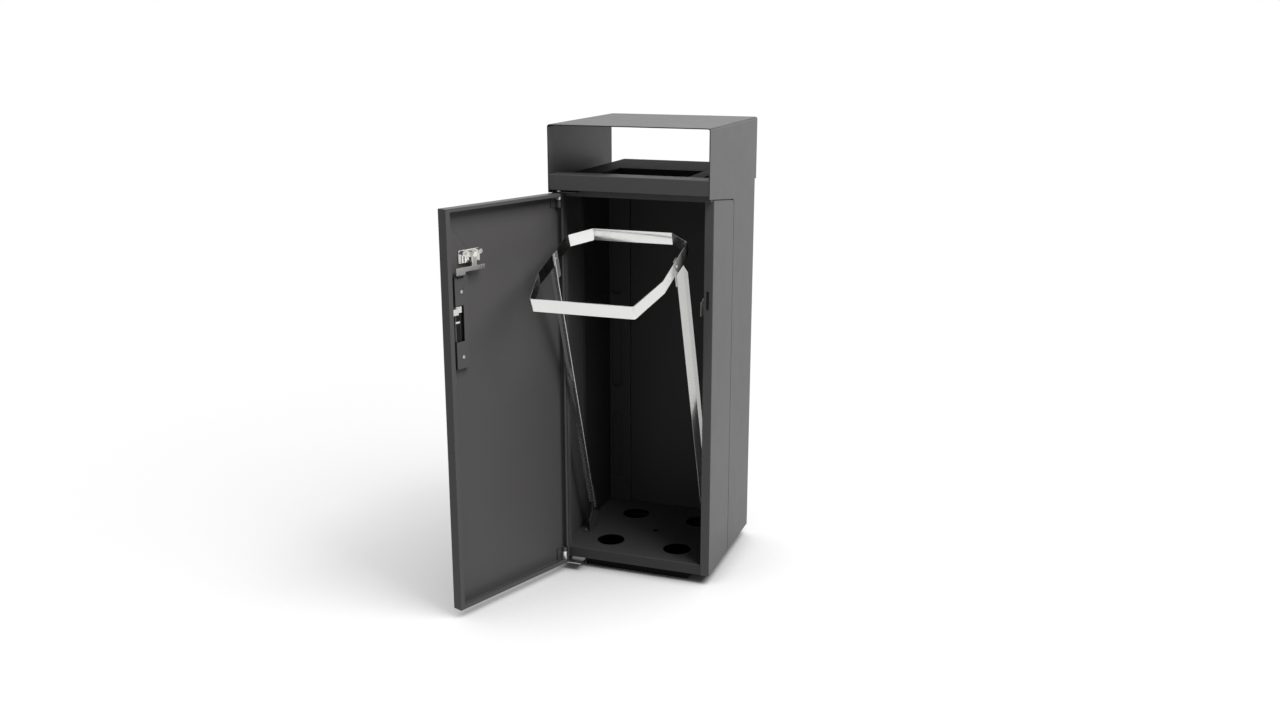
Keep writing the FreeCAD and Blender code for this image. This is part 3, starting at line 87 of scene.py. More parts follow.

# Sliding bar, near-black as painted shade: width of its edge left bright zinc, and the heights of
# its nose and its stop, bright too
BRIGHT_EDGE = 0.0053
BRIGHT_BANDS = ((0.8215, 0.8395), (0.7935, 0.7985))

# How far the fixings' heads stand out, in metres, and for rivets as a share of their width
GUARD_HEAD_RISE, CASE_HEAD_RISE, BOLT_HEAD_RISE = 0.0025, 0.0018, 0.004
RIVET_RISE = 0.2

# Seam strips: distance from the middle plane, half width and thickness
STRIP_FROM_MIDDLE, STRIP_HALF, STRIP_THICK = 0.2219, 0.0055, 0.0011

# Floor: half its side, where its glow changes, and how far a piece above it paints shade into that
# glow
FLOOR_REACH = 30.0
GLOW_SPAN = (0.9, 3.2)
FLOOR_TONES = (0.4, 0.05)
SHADE_REACH, CONTACT_REACH, CONTACT_SPAN = 0.9, 0.14, (0.3, 0.7)
WHITE = (1, 1, 1, 1)

KEY_PLACE, KEY_AIM, KEY_SIDE = (2.25, -0.8, 3.75), (0, 0, 0.5), 2.4


class BinFinish(bpy.types.PropertyGroup):
    """Colours and surface of the bin's finishes"""

    paint: bpy.props.FloatVectorProperty(
        name="Paint", description="Dark grey powder coat", subtype="COLOR", size=3, min=0, max=1,
        default=(0.074, 0.0712, 0.0718),
    )
    paint_roughness: bpy.props.FloatProperty(
        name="Paint roughness", description="Satin of the powder coat", default=0.42, min=0.1,
        max=1, subtype="FACTOR",
    )
    base_paint: bpy.props.FloatVectorProperty(
        name="Plinth paint", description="Black paint of the recessed plinth", subtype="COLOR",
        size=3, min=0, max=1, default=(0.008, 0.008, 0.0085),
    )
    # Painted shade: the hopper is near-black to stand for its shade under the hood's roof
    hopper_shade_paint: bpy.props.FloatVectorProperty(
        name="Hopper paint", description="Dull black paint of the hopper", subtype="COLOR",
        size=3, min=0, max=1, default=(0.012, 0.0118, 0.0118),
    )
    # Painted shade: the share of the paint's tone kept inside the case
    inside_shade: bpy.props.FloatProperty(
        name="Inner coat", default=0.68, min=0.2, max=1, subtype="FACTOR",
        description="Thinner coat inside the case, as a share of the paint's tone",
    )
    strip: bpy.props.FloatVectorProperty(
        name="Strip steel", description="Plain zinc-coated strip of the bag frame",
        subtype="COLOR", size=3, min=0, max=1, default=(0.71, 0.71, 0.70),
    )
    zinc: bpy.props.FloatVectorProperty(
        name="Zinc", description="Zinc plating of the lower bracket, the lever and the fixings",
        subtype="COLOR", size=3, min=0, max=1, default=(0.56, 0.56, 0.54),
    )
    nickel: bpy.props.FloatVectorProperty(
        name="Nickel", description="Nickel plating of the lock's body, core, nut and nose",
        subtype="COLOR", size=3, min=0, max=1, default=(0.84, 0.83, 0.80),
    )
    grain: bpy.props.FloatProperty(
        name="Paint grain", description="Width of the powder coat's fine grain", default=0.0011,
        min=0.0003, max=0.01, unit="LENGTH", precision=5,
    )
    edge: bpy.props.FloatProperty(
        name="Sheet edge", description="Radius broken on the edges of sheets and plates",
        default=0.0005, min=0, max=0.002, unit="LENGTH", precision=5,
    )


class BinFixings(bpy.types.PropertyGroup):
    """Sizes of the fixings"""

    guard_head: bpy.props.FloatProperty(
        name="Guard screw head", description="Diameter of the heads on the bolt guard",
        default=0.010, min=0.004, max=0.02, unit="LENGTH", precision=4,
    )
    case_head: bpy.props.FloatProperty(
        name="Lock case screw head", description="Diameter of the heads on the lock case",
        default=0.007, min=0.003, max=0.02, unit="LENGTH", precision=4,
    )
    rivet: bpy.props.FloatProperty(
        name="Rivet head", description="Diameter of the bag frame's rivet heads", default=0.008,
        min=0.003, max=0.02, unit="LENGTH", precision=4,
    )
    bolt_flats: bpy.props.FloatProperty(
        name="Bolt head", description="Width across the flats of the foot bolts", default=0.010,
        min=0.005, max=0.02, unit="LENGTH", precision=4,
    )


class BinStudio(bpy.types.PropertyGroup):
    """Light and camera of the studio"""

    camera_place: bpy.props.FloatVectorProperty(
        name="Camera", description="Place of the camera", subtype="TRANSLATION", unit="LENGTH",
        size=3, default=(1.1269, -3.2915, 1.5114),
    )
    camera_fall: bpy.props.FloatProperty(
        name="Camera tilt", description="Downward tilt of the camera", subtype="ANGLE",
        default=math.radians(14.84),
    )
    camera_turn: bpy.props.FloatProperty(
        name="Camera turn", description="Turn of the camera towards the bin", subtype="ANGLE",
        default=math.radians(19.68),
    )
    fill: bpy.props.FloatProperty(
        name="Fill", description="Strength of the light from all round", default=0.27, min=0,
        max=2, subtype="FACTOR",
    )
    key: bpy.props.FloatProperty(
        name="Key", description="Power of the large lamp on the right", default=216, min=0,
        max=500, subtype="POWER",
    )
    floor_near: bpy.props.FloatProperty(
        name="Floor near the bin", description="Brightness the camera adds to the floor by the bin",
        default=0.7, min=0, max=1, subtype="FACTOR",
    )


class Wiring:
    """Adds nodes to a tree, side by side, and joins them up with few words."""

    STEP = 190

    def __init__(self, tree):
        self.tree = tree
        self.place = 0

    def add(self, kind, inputs=None, **options):
        """Adds a node, sets its options and feeds its inputs."""
        made = self.tree.nodes.new(kind)
        made.location = (self.place, 0)
        self.place += self.STEP
        for key, value in options.items():
            setattr(made, key, value)
        self.feed(made, inputs or {})
        return made

    def feed(self, node, inputs):
        """Links sockets to a node's inputs, and writes plain values there."""
        for key, value in inputs.items():
            if isinstance(value, bpy.types.NodeSocket):
                self.tree.links.new(value, node.inputs[key])
            else:
                node.inputs[key].default_value = value

    def take(self, kind, inputs=None, output=0, **options):
        """Adds a node and gives one of its outputs."""
        return self.add(kind, inputs, **options).outputs[output]

    def calc(self, operation, first, second=0.0):
        """Adds a sum and gives its result."""
        return self.take("ShaderNodeMath", {0: first, 1: second}, operation=operation)


def fresh_material(name, diffuse):
    """A material with its output, its principled shader and the place on the object."""
    made = bpy.data.materials.new(name)
    made.use_nodes = True
    made.node_tree.nodes.clear()
    made.diffuse_color = (*diffuse, 1)
    wiring = Wiring(made.node_tree)
    shader = wiring.add("ShaderNodeBsdfPrincipled")
    wiring.add("ShaderNodeOutputMaterial", {"Surface": shader.outputs[0]})
    return made, wiring, shader, wiring.take("ShaderNodeTexCoord", output="Object")


def noise(wiring, place, width, detail, stretch=(1, 1, 1)):
    """Noise whose blobs are about width metres across."""
    scale = tuple(share / width for share in stretch)
    mapped = wiring.take("ShaderNodeMapping", {"Vector": place, "Scale": scale})
    return wiring.take("ShaderNodeTexNoise", {"Vector": mapped, "Scale": 1.0, "Detail": detail})


def ranged(wiring, value, span, target=(0.0, 1.0)):
    """Maps a number from one span to another and holds it there."""
    return wiring.take("ShaderNodeMapRange", {
        "Value": value, "From Min": span[0], "From Max": span[1],
        "To Min": target[0], "To Max": target[1],
    })


def spread(wiring, source, low=0.0, high=1.0):
    """Turns a noise into a number between low and high."""
    return ranged(wiring, source, NOISE_SPAN, (low, high))


def blend(wiring, factor, first, second, kind="MIX"):
    """Mixes two colours, each of them a socket or four numbers."""
    return wiring.take(
        "ShaderNodeMix", {"Factor": factor, "A": first, "B": second}, "Result",
        data_type="RGBA", blend_type=kind,
    )


def toned(colour, factor):
    """A colour made darker or lighter, short of running over."""
    return tuple(min(1, channel * factor) for channel in colour)


def shades(wiring, factor, colour, dark, light):
    """Two tones of a colour, mixed by a noise."""
    return blend(wiring, factor, (*toned(colour, dark), 1), (*toned(colour, light), 1))


def powder_coat(name, colour, roughness, grain, shine=0.28, inside=None):
    """Satin powder coat with a fine orange peel and faint clouding, darker inside the shell as
    painted shade.
    """
    made, wiring, shader, place = fresh_material(name, colour)
    cloud = spread(wiring, noise(wiring, place, CLOUD_WIDTH, 3))
    speck = spread(wiring, noise(wiring, place, grain * 1.4, 1))
    flecks = shades(wiring, speck, (1, 1, 1), FLECK_TONE, 1)
    clouded = shades(wiring, cloud, colour, 0.98, 1.02)
    coat = blend(wiring, FLECK_SHARE, clouded, flecks, "MULTIPLY")
    # Painted shade: the colour is darkened within the shell's sides and below its top
    if inside:
        share, side, top = inside
        parts = wiring.add("ShaderNodeSeparateXYZ", {"Vector": place}).outputs
        within = wiring.calc("LESS_THAN", wiring.calc("ABSOLUTE", parts["X"]), side)
        below = wiring.calc("LESS_THAN", parts["Z"], top)
        mask = wiring.calc("MULTIPLY", within, below)
        coat = blend(wiring, mask, coat, (share, share, share, 1), "MULTIPLY")
    satin = noise(wiring, place, SATIN_WIDTH, 4)
    peel = noise(wiring, place, grain, 2)
    bump = {"Height": peel, "Strength": 0.12, "Distance": PEEL_DEPTH}
    wiring.feed(shader, {
        "Base Color": coat,
        "Roughness": spread(wiring, satin, roughness - 0.012, roughness + 0.015),
        "Normal": wiring.take("ShaderNodeBump", bump),
        "Specular IOR Level": shine,
    })
    return made


def rolled_metal(
    name, colour, roughness, stretch, mark, depth=MARK_DEPTH, spangle=0.0, metal=1.0,
):
    """Bare or plated metal with rolling marks and, where asked, zinc's soft crystal pattern."""
    made, wiring, shader, place = fresh_material(name, colour)
    lines = noise(wiring, place, MARK_WIDTH, 3, stretch)
    tone = shades(wiring, spread(wiring, lines), colour, 1 - mark, 1 + mark)
    if spangle:
        crystals = {"Vector": place, "Scale": CRYSTALS_PER_METRE}
        cells = wiring.take("ShaderNodeTexVoronoi", crystals, "Color")
        cell = wiring.take("ShaderNodeSeparateColor", {"Color": cells})
        veil = blend(wiring, cell, (0.72, 0.73, 0.74, 1), WHITE)
        tone = blend(wiring, spangle, tone, veil, "MULTIPLY")
    stains = noise(wiring, place, STAIN_WIDTH, 3)
    bump = {"Height": lines, "Strength": 0.25, "Distance": depth}
    wiring.feed(shader, {
        "Base Color": tone,
        "Metallic": metal,
        "Roughness": spread(wiring, stains, roughness - 0.05, roughness + 0.07),
        "Normal": wiring.take("ShaderNodeBump", bump),
    })
    return made


def bare_under_coat_and_shade(wiring, place, mask, coat, bare, fade, along):
    """A coat over metal that lies bare where the mask is one; on the sliding bar the dark coat is
    painted shade.
    """
    grain = spread(wiring, noise(wiring, place, MARK_WIDTH, 3, (1, 1, along)))
    outer = shades(wiring, grain, coat, 1 - fade, 1 + fade)
    return blend(wiring, mask, outer, shades(wiring, grain, bare, 0.95, 1.05))


def leaf_finish(paint, bare, axis):
    """Painted hinge leaf whose knuckle is bare round the pin, at its outer end."""
    made, wiring, shader, place = fresh_material("painted_leaf", paint)
    shift = {0: place, 1: (*axis, 0)}
    moved = wiring.take("ShaderNodeVectorMath", shift, operation="SUBTRACT")
    parts = wiring.add("ShaderNodeSeparateXYZ", {"Vector": moved}).outputs
    flat = wiring.take("ShaderNodeCombineXYZ", {"X": parts["X"], "Y": parts["Y"]})
    off = wiring.take("ShaderNodeVectorMath", {0: flat}, "Value", operation="LENGTH")
    near = wiring.calc("LESS_THAN", off, KNUCKLE_REACH)
    above = wiring.calc("GREATER_THAN", parts["Z"], KNUCKLES_ABOVE)
    below = wiring.calc("LESS_THAN", parts["Z"], KNUCKLES_BELOW)
    mask = wiring.calc("MULTIPLY", near, wiring.calc("MAXIMUM", above, below))
    wiring.feed(shader, {
        "Base Color": bare_under_coat_and_shade(wiring, place, mask, paint, bare, 0.1, 0.3),
        "Metallic": mask,
        "Roughness": spread(wiring, noise(wiring, place, 0.01, 3), 0.34, 0.44),
    })
    return made


def shaded_bar_finish(coat, bare, across, limit):
    """Near-black painted shade over zinc, which stays bright along one edge, at the nose and at the
    stop.
    """
    made, wiring, shader, place = fresh_material("bar_with_painted_shade", bare)
    height = wiring.take("ShaderNodeSeparateXYZ", {"Vector": place}, "Z")
    line = {0: place, 1: tuple(across)}
    side = wiring.take("ShaderNodeVectorMath", line, "Value", operation="DOT_PRODUCT")
    mask = wiring.calc("LESS_THAN", side, limit)
    for low, high in BRIGHT_BANDS:
        over = wiring.calc("GREATER_THAN", height, low)
        under = wiring.calc("LESS_THAN", height, high)
        mask = wiring.calc("MAXIMUM", mask, wiring.calc("MULTIPLY", over, under))
    wiring.feed(shader, {
        "Base Color": bare_under_coat_and_shade(wiring, place, mask, coat, bare, 0.15, 0.15),
        "Metallic": 1.0,
        "Roughness": spread(wiring, noise(wiring, place, 0.02, 3), 0.3, 0.42),
    })
    return made


def bevel_edges(piece, width, segments):
    """Breaks the sharp edges of a piece."""
    bevel = piece.modifiers.new("broken_edges", "BEVEL")
    bevel.width = width
    bevel.segments = segments
    bevel.limit_method = "ANGLE"
    bevel.angle_limit = BEVELLED_FROM


def dress(names, material, edge):
    """Gives carried-over nodes their finish and breaks their sharp edges."""
    for name in names:
        piece = frame["nodes"][name]
        piece.data.materials.clear()
        piece.data.materials.append(material)
        if edge:
            weld = piece.modifiers.new("closed_edges", "WELD")
            weld.merge_threshold = WELD_REACH
            bevel_edges(piece, edge, 1)


class BIN_OT_paintwork(bpy.types.Operator):
    """Powder-coats the case, the door and its guard, the hopper, the plinth and the brackets"""

    bl_idname = "waste_bin.paintwork"
    bl_label = "Paintwork"

    def execute(self, context):
        finish = context.scene.bin_finish
        paint, satin, grain, edge = finish.paint, finish.paint_roughness, finish.grain, finish.edge
        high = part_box("hood_shell")[1]
        # The shell's painted shade begins just behind the broken edges of its outer faces
        skin = edge * 1.4
        inside = (finish.inside_shade * 0.55, high.x - skin, high.z - skin)
        shaded_paint, bracket_paint = toned(paint, finish.inside_shade), toned(paint, 0.7)
        coat = powder_coat("grey_powder_coat", paint, satin, grain)
        shell = powder_coat("shell_coat_with_shade", paint, satin, grain, inside=inside)
        shaded_coat = powder_coat("inside_shade_coat", shaded_paint, 0.55, grain, shine=0.2)
        small = powder_coat("bracket_paint", bracket_paint, 0.5, grain, shine=0.3)
        # The hopper's near-black paint is painted shade under the hood's roof
        dull = powder_coat("hopper_shade_paint", finish.hopper_shade_paint, 0.6, grain, shine=0.05)
        black = powder_coat("black_plinth_paint", finish.base_paint, 0.65, grain, shine=0.1)
        dress(PAINTED, coat, edge)
        dress(["hood_shell"], shell, edge)
        dress(["fascia"], coat, edge * FOLD_EDGE)
        # The floor plate, back panel and rear posts take a darker copy of the paint, as painted
        # shade inside the case
        dress(["floor_plate"], shaded_coat, edge * FOLD_EDGE)
        dress(SHADED_INSIDE, shaded_coat, edge)
        dress(BRACKETS, small, edge * SMALL_EDGE)
        dress(["hopper"], dull, edge)
        dress(["plinth"], black, edge)
        return {"FINISHED"}


class BIN_OT_hinge_zinc(bpy.types.Operator):
    """Paints the hinge leaves, plates the lower bracket and the strike, and brightens the pins"""

    bl_idname = "waste_bin.hinge_zinc"
    bl_label = "Hinges and strike"

    def execute(self, context):
        finish = context.scene.bin_finish
        zinc, edge = finish.zinc, finish.edge * SMALL_EDGE
        low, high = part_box("hinge_pins")
        axis = ((low.x + high.x) / 2, (low.y + high.y) / 2)
        leaf = leaf_finish(toned(finish.paint, 0.7), toned(zinc, 1.4), axis)
        plated = rolled_metal("zinc_plate", zinc, 0.34, (1, 1, 12), mark=0.05, spangle=0.35)
        dull = rolled_metal("strike_zinc", toned(zinc, 0.45), 0.3, (1, 1, 12), mark=0.08)
        turned = rolled_metal("turned_pins", toned(zinc, 1.4), 0.26, (1, 1, 6), mark=0.04)
        dress(LEAVES, leaf, edge)
        dress(["hinge_bracket_lower"], plated, edge)
        dress(["strike"], dull, edge)
        dress(PINS, turned, 0)
        return {"FINISHED"}


class BIN_OT_bag_frame(bpy.types.Operator):
    """Gives the ring its bright strip steel, and the arms a darker, partly matt copy of it as
    painted shade
    """

    bl_idname = "waste_bin.bag_frame"
    bl_label = "Bag frame"

    def execute(self, context):
        finish = context.scene.bin_finish
        along, shaded_strip = (0.12, 0.12, 1.6), toned(finish.strip, 0.7)
        strip = rolled_metal(
            "bright_strip", finish.strip, 0.17, along, mark=0.03, depth=0.000005,
        )
        # Painted shade: the arms' strip is darker and partly matt, a shaded copy of the ring's
        folded = rolled_metal(
            "folded_strip_shaded", shaded_strip, 0.24, along, mark=0.015, depth=0.000002, metal=0.72,
        )
        dress(["bag_ring"], strip, finish.edge * STRIP_EDGE)
        dress(ARMS, folded, finish.edge * STRIP_EDGE)
        return {"FINISHED"}


def solids_of(name):
    """The separate solids of a node, each as a list of its points."""
    mesh = frame["nodes"][name].data
    link = list(range(len(mesh.vertices)))

    def root(item):
        while link[item] != item:
            link[item] = link[link[item]]
            item = link[item]
        return item

    seen = {}
    for vertex in mesh.vertices:
        key = tuple(round(c, 6) for c in vertex.co)
        if key in seen:
            link[root(vertex.index)] = root(seen[key])
        else:
            seen[key] = vertex.index
    for polygon in mesh.polygons:
        first = polygon.vertices[0]
        for other in polygon.vertices[1:]:
            link[root(other)] = root(first)
    groups = {}
    for vertex in mesh.vertices:
        groups.setdefault(root(vertex.index), []).append(vertex.co)
    return list(groups.values())


def extent(points, direction):
    """The lowest and the highest place of the points along a direction."""
    values = [Vector(point).dot(direction) for point in points]
    return min(values), max(values)


def spans(points):
    """The extent of the points along each axis."""
    return [extent(points, axis) for axis in AXES]


def door_axes():
    """Directions of the open door: outwards from its inner face, and along its width."""
    outward = Vector(JOINTS["lock_turn"]["axis"]).normalized()
    if outward.x < 0:
        outward = -outward
    return outward, Vector((-outward.y, outward.x, 0))


def points_mesh(name, places, directions, widths):
    """A mesh of single points that carry a direction and a width for what stands on them."""
    mesh = bpy.data.meshes.new(name)
    mesh.from_pydata([tuple(place) for place in places], [], [])
    mesh.attributes.new("way", "FLOAT_VECTOR", "POINT")
    mesh.attributes.new("wide", "FLOAT", "POINT")
    for index, (direction, width) in enumerate(zip(directions, widths)):
        mesh.attributes["way"].data[index].vector = tuple(direction)
        mesh.attributes["wide"].data[index].value = width
    return linked(name, mesh)


def linked(name, data):
    """An object in the scene that shows some data."""
    made = bpy.data.objects.new(name, data)
    bpy.context.scene.collection.objects.link(made)
    return made


def node_group(name, inputs):
    """A geometry node tree with named number inputs."""
    tree = bpy.data.node_groups.new(name, "GeometryNodeTree")
    tree.interface.new_socket("Geometry", in_out="INPUT", socket_type="NodeSocketGeometry")
    for label, default in inputs:
        socket = tree.interface.new_socket(label, in_out="INPUT", socket_type="NodeSocketFloat")
        socket.default_value = default
    tree.interface.new_socket("Geometry", in_out="OUTPUT", socket_type="NodeSocketGeometry")
    wiring = Wiring(tree)
    return tree, wiring, wiring.add("NodeGroupInput").outputs


def stand_on_points(wiring, points, shape, material):
    """Stands a shape, drawn 1 m wide with its foot at the origin, on every point."""
    attribute = "GeometryNodeInputNamedAttribute"
    way = wiring.take(attribute, {"Name": "way"}, data_type="FLOAT_VECTOR")
    wide = wiring.take(attribute, {"Name": "wide"}, data_type="FLOAT")
    turn = wiring.take("FunctionNodeAlignRotationToVector", {"Vector": way}, axis="Z")
    stood = wiring.take("GeometryNodeInstanceOnPoints", {
        "Points": points, "Instance": shape, "Rotation": turn, "Scale": wide,
    })
    real = wiring.take("GeometryNodeRealizeInstances", {"Geometry": stood})
    made_of = {"Geometry": real, "Material": material}
    wiring.add("NodeGroupOutput", {"Geometry": wiring.take("GeometryNodeSetMaterial", made_of)})


def disc(wiring, radius, height, low, sides=24):
    """A cylinder with its foot at the given height."""
    size = {"Vertices": sides, "Radius": radius, "Depth": height}
    middle = wiring.calc("ADD", wiring.calc("MULTIPLY", height, 0.5), low)
    return wiring.take("GeometryNodeTransform", {
        "Geometry": wiring.take("GeometryNodeMeshCylinder", size),
        "Translation": wiring.take("ShaderNodeCombineXYZ", {"Z": middle}),
    })


def dome(wiring, radius, rise, middle, rings, sides):
    """A flattened ball whose middle is at the given height."""
    ball = {"Segments": sides, "Rings": rings, "Radius": 1}
    return wiring.take("GeometryNodeTransform", {
        "Geometry": wiring.take("GeometryNodeMeshUVSphere", ball),
        "Translation": wiring.take("ShaderNodeCombineXYZ", {"Z": middle}),
        "Scale": wiring.take("ShaderNodeCombineXYZ", {"X": radius, "Y": radius, "Z": rise}),
    })


def block(wiring, size, middle, turn):
    """A bar whose middle is at the given height, turned about the upright axis."""
    return wiring.take("GeometryNodeTransform", {
        "Geometry": wiring.take("GeometryNodeMeshCube", {"Size": size}),
        "Translation": (0, 0, middle),
        "Rotation": (0, 0, turn),
    })


def combined(wiring, operation, first, second):
    """Unites two closed shapes, keeps what they share, or takes the second from the first."""
    made = wiring.add("GeometryNodeMeshBoolean", operation=operation, solver="EXACT")
    wiring.feed(made, {"Mesh 1" if operation == "DIFFERENCE" else "Mesh 2": first})
    wiring.feed(made, {"Mesh 2": second})
    return made.outputs[0]


def screw_tree(material):
    """A pan head with a cross recess, one unit wide."""
    inputs = [("Head height", 0.26), ("Recess", 0.62)]
    tree, wiring, start = node_group("pan_head_screw", inputs)
    crown, slot_width, slot_depth, turn = 0.27, 0.11, 0.3, 0.4
    ball = dome(wiring, 0.5, crown, 0.0, 14, 28)
    head = combined(wiring, "INTERSECT", ball, disc(wiring, 0.6, start["Head height"], 0.0))
    arm = start["Recess"]
    for x, y in ((arm, slot_width), (slot_width, arm)):
        size = wiring.take("ShaderNodeCombineXYZ", {"X": x, "Y": y, "Z": slot_depth})
        head = combined(wiring, "DIFFERENCE", head, block(wiring, size, crown, turn))
    stand_on_points(wiring, start["Geometry"], head, material)
    return tree


def rivet_tree(material):
    """A domed rivet head, one unit wide, with the small dimple of its mandrel."""
    tree, wiring, start = node_group("domed_rivet", [("Head height", RIVET_RISE)])
    height = start["Head height"]
    ball = dome(wiring, 0.5, height, 0.0, 14, 28)
    head = combined(wiring, "INTERSECT", ball, disc(wiring, 0.6, 0.5, 0.0))
    head = combined(wiring, "DIFFERENCE", head, dome(wiring, 0.13, 0.06, height, 8, 16))
    stand_on_points(wiring, start["Geometry"], head, material)
    return tree


def bolt_tree(material):
    """A hexagon bolt, one unit across its flats, with its flange and chamfered crown."""
    tree, wiring, start = node_group("hexagon_bolt", [("Head height", 0.36)])
    nut = disc(wiring, 0.5774, start["Head height"], 0.04, 6)
    head = combined(wiring, "INTERSECT", nut, dome(wiring, 0.86, 0.44, 0.0, 14, 36))
    head = combined(wiring, "UNION", head, disc(wiring, 0.56, 0.06, 0.0, 32))
    stand_on_points(wiring, start["Geometry"], head, material)
    return tree


def grow(points, tree, values):
    """Runs a tree on the points and keeps the result as a plain mesh."""
    modifier = points.modifiers.new(tree.name, "NODES")
    modifier.node_group = tree
    for item in tree.interface.items_tree:
        if item.in_out == "INPUT" and item.name in values:
            modifier[item.identifier] = values[item.name]
    graph = bpy.context.evaluated_depsgraph_get()
    result = bpy.data.meshes.new_from_object(points.evaluated_get(graph))
    name, old = points.name, points.data
    points.modifiers.clear()
    points.data = result
    bpy.data.meshes.remove(old)
    result.name = name
    if not result.polygons:
        raise RuntimeError(name + " came out empty")


def make_fixings(name, stands, shape, values, body, nodes):
    """Makes one piece of fixings that ride on a body, each from its place, way and width."""
    material = bpy.data.materials.get("fixing_zinc")
    if not material:
        zinc = toned(bpy.context.scene.bin_finish.zinc, 1.18)
        material = rolled_metal("fixing_zinc", zinc, 0.24, (1, 1, 1), mark=0.04)
    made = points_mesh(name, *zip(*stands))
    grow(made, shape(material), values)
    made.data.polygons.foreach_set("use_smooth", [True] * len(made.data.polygons))
    made.data.set_sharp_from_angle(angle=SMOOTH_TO)
    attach(made, body)
    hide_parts(*nodes)


def middle_of(span):
    """Half-way between the two ends of a span."""
    return (span[0] + span[1]) / 2


class BIN_OT_screws(bpy.types.Operator):
    """Makes the cross-recessed screws of the bolt guard and the lock case"""

    bl_idname = "waste_bin.screws"
    bl_label = "Door screws"

    def execute(self, context):
        fixings = context.scene.bin_fixings
        outward, across = door_axes()
        stands = []
        for solid in solids_of("door_screws"):
            foot, top = extent(solid, UP)
            big = top - foot > (fixings.guard_head + fixings.case_head) / 2
            base = extent(solid, outward)[1] - (GUARD_HEAD_RISE if big else CASE_HEAD_RISE)
            place = outward * base + across * middle_of(extent(solid, across))
            place.z += middle_of((foot, top))
            stands.append((place, outward, fixings.guard_head if big else fixings.case_head))
        if len(stands) != 4:
            raise RuntimeError("the door screws were not found")
        sizes = {"Head height": 0.25, "Recess": 0.6}
        make_fixings("screw_heads", stands, screw_tree, sizes, "door", ["door_screws"])
        return {"FINISHED"}


class BIN_OT_frame_rivets(bpy.types.Operator):
    """Makes the domed rivets that hold the arms' tabs to the ring"""

    bl_idname = "waste_bin.frame_rivets"
    bl_label = "Bag frame rivets"

    def execute(self, context):
        width = context.scene.bin_fixings.rivet
        rise = width * RIVET_RISE
        stands = []
        for solid in solids_of("arm_rivets"):
            (low, high), depth, height = spans(solid)
            for x, way in ((low + rise, -1), (high - rise, 1)):
                place = Vector((x, middle_of(depth), middle_of(height)))
                stands.append((place, (way, 0, 0), width))
        sizes = {"Head height": RIVET_RISE}
        make_fixings("frame_rivet_heads", stands, rivet_tree, sizes, "bag_frame", ["arm_rivets"])
        return {"FINISHED"}


class BIN_OT_case_rivets(bpy.types.Operator):
    """Makes the domed rivets of the upper hinge bracket and of the strike"""

    bl_idname = "waste_bin.case_rivets"
    bl_label = "Case rivets"

    def execute(self, context):
        stands = []
        for solid in solids_of("case_rivets"):
            sides = spans(solid)
            sizes = [high - low for low, high in sides]
            place = [middle_of(side) for side in sides]
            axis, way = (1, (0, -1, 0)) if sizes[1] < sizes[0] else (0, (-1, 0, 0))
            place[axis] = sides[axis][1]
            stands.append((place, way, sizes[2]))
        sizes = {"Head height": RIVET_RISE}
        make_fixings("case_rivet_heads", stands, rivet_tree, sizes, "cabinet", ["case_rivets"])
        return {"FINISHED"}


class BIN_OT_foot_bolts(bpy.types.Operator):
    """Makes the flanged hexagon bolts that hold the bag frame's lugs to the floor"""

    bl_idname = "waste_bin.foot_bolts"
    bl_label = "Foot bolts"

    def execute(self, context):
        stands = []
        for solid in solids_of("foot_bolts"):
            width, depth, (foot, top) = spans(solid)
            place = (middle_of(width), middle_of(depth), top - BOLT_HEAD_RISE)
            stands.append((place, UP, context.scene.bin_fixings.bolt_flats))
        sizes = {"Head height": 0.36}
        make_fixings("foot_bolt_heads", stands, bolt_tree, sizes, "cabinet", ["foot_bolts"])
        return {"FINISHED"}


def plate(points, faces, door, outline, low, high):
    """Adds a closed plate, drawn on the door in millimetres, between two heights above it."""
    place, across, outward = door
    first = len(points)
    count = len(outline)
    for height in (low, high):
        for right, up in outline:
            step = across * right + outward * height + Vector((0, 0, up))
            points.append(place + step / 1000)
    faces.append([first + i for i in range(count)][::-1])
    faces.append([first + count + i for i in range(count)])
    for i in range(count):
        j = (i + 1) % count
        faces.append([first + i, first + j, first + count + j, first + count + i])


def round_corners(left, foot, right, top, radius):
    """Outline of a plate with rounded corners, in millimetres."""
    steps = 4
    outline = []
    middles = ((right - radius, top - radius), (left + radius, top - radius),
               (left + radius, foot + radius), (right - radius, foot + radius))
    for corner, (x, y) in enumerate(middles):
        for step in range(steps + 1):
            angle = math.radians(90 * (corner + step / steps))
            outline.append((x + radius * math.cos(angle), y + radius * math.sin(angle)))
    return outline


def round_outline(x, y, radius):
    """Outline of a round plate, in millimetres."""
    sides = 28
    angles = [2 * math.pi * i / sides for i in range(sides)]
    return [(x + radius * math.cos(angle), y + radius * math.sin(angle)) for angle in angles]


def solid_piece(name, points, faces, material, edge):
    """A plain mesh object from points in metres, with its edges broken and its faces outwards."""
    mesh = bpy.data.meshes.new(name)
    mesh.from_pydata([tuple(point) for point in points], [], faces)
    work = bmesh.new()
    work.from_mesh(mesh)
    bmesh.ops.recalc_face_normals(work, faces=work.faces)
    work.to_mesh(mesh)
    work.free()
    mesh.materials.append(material)
    made = linked(name, mesh)
    bevel_edges(made, edge, 2)
    return made


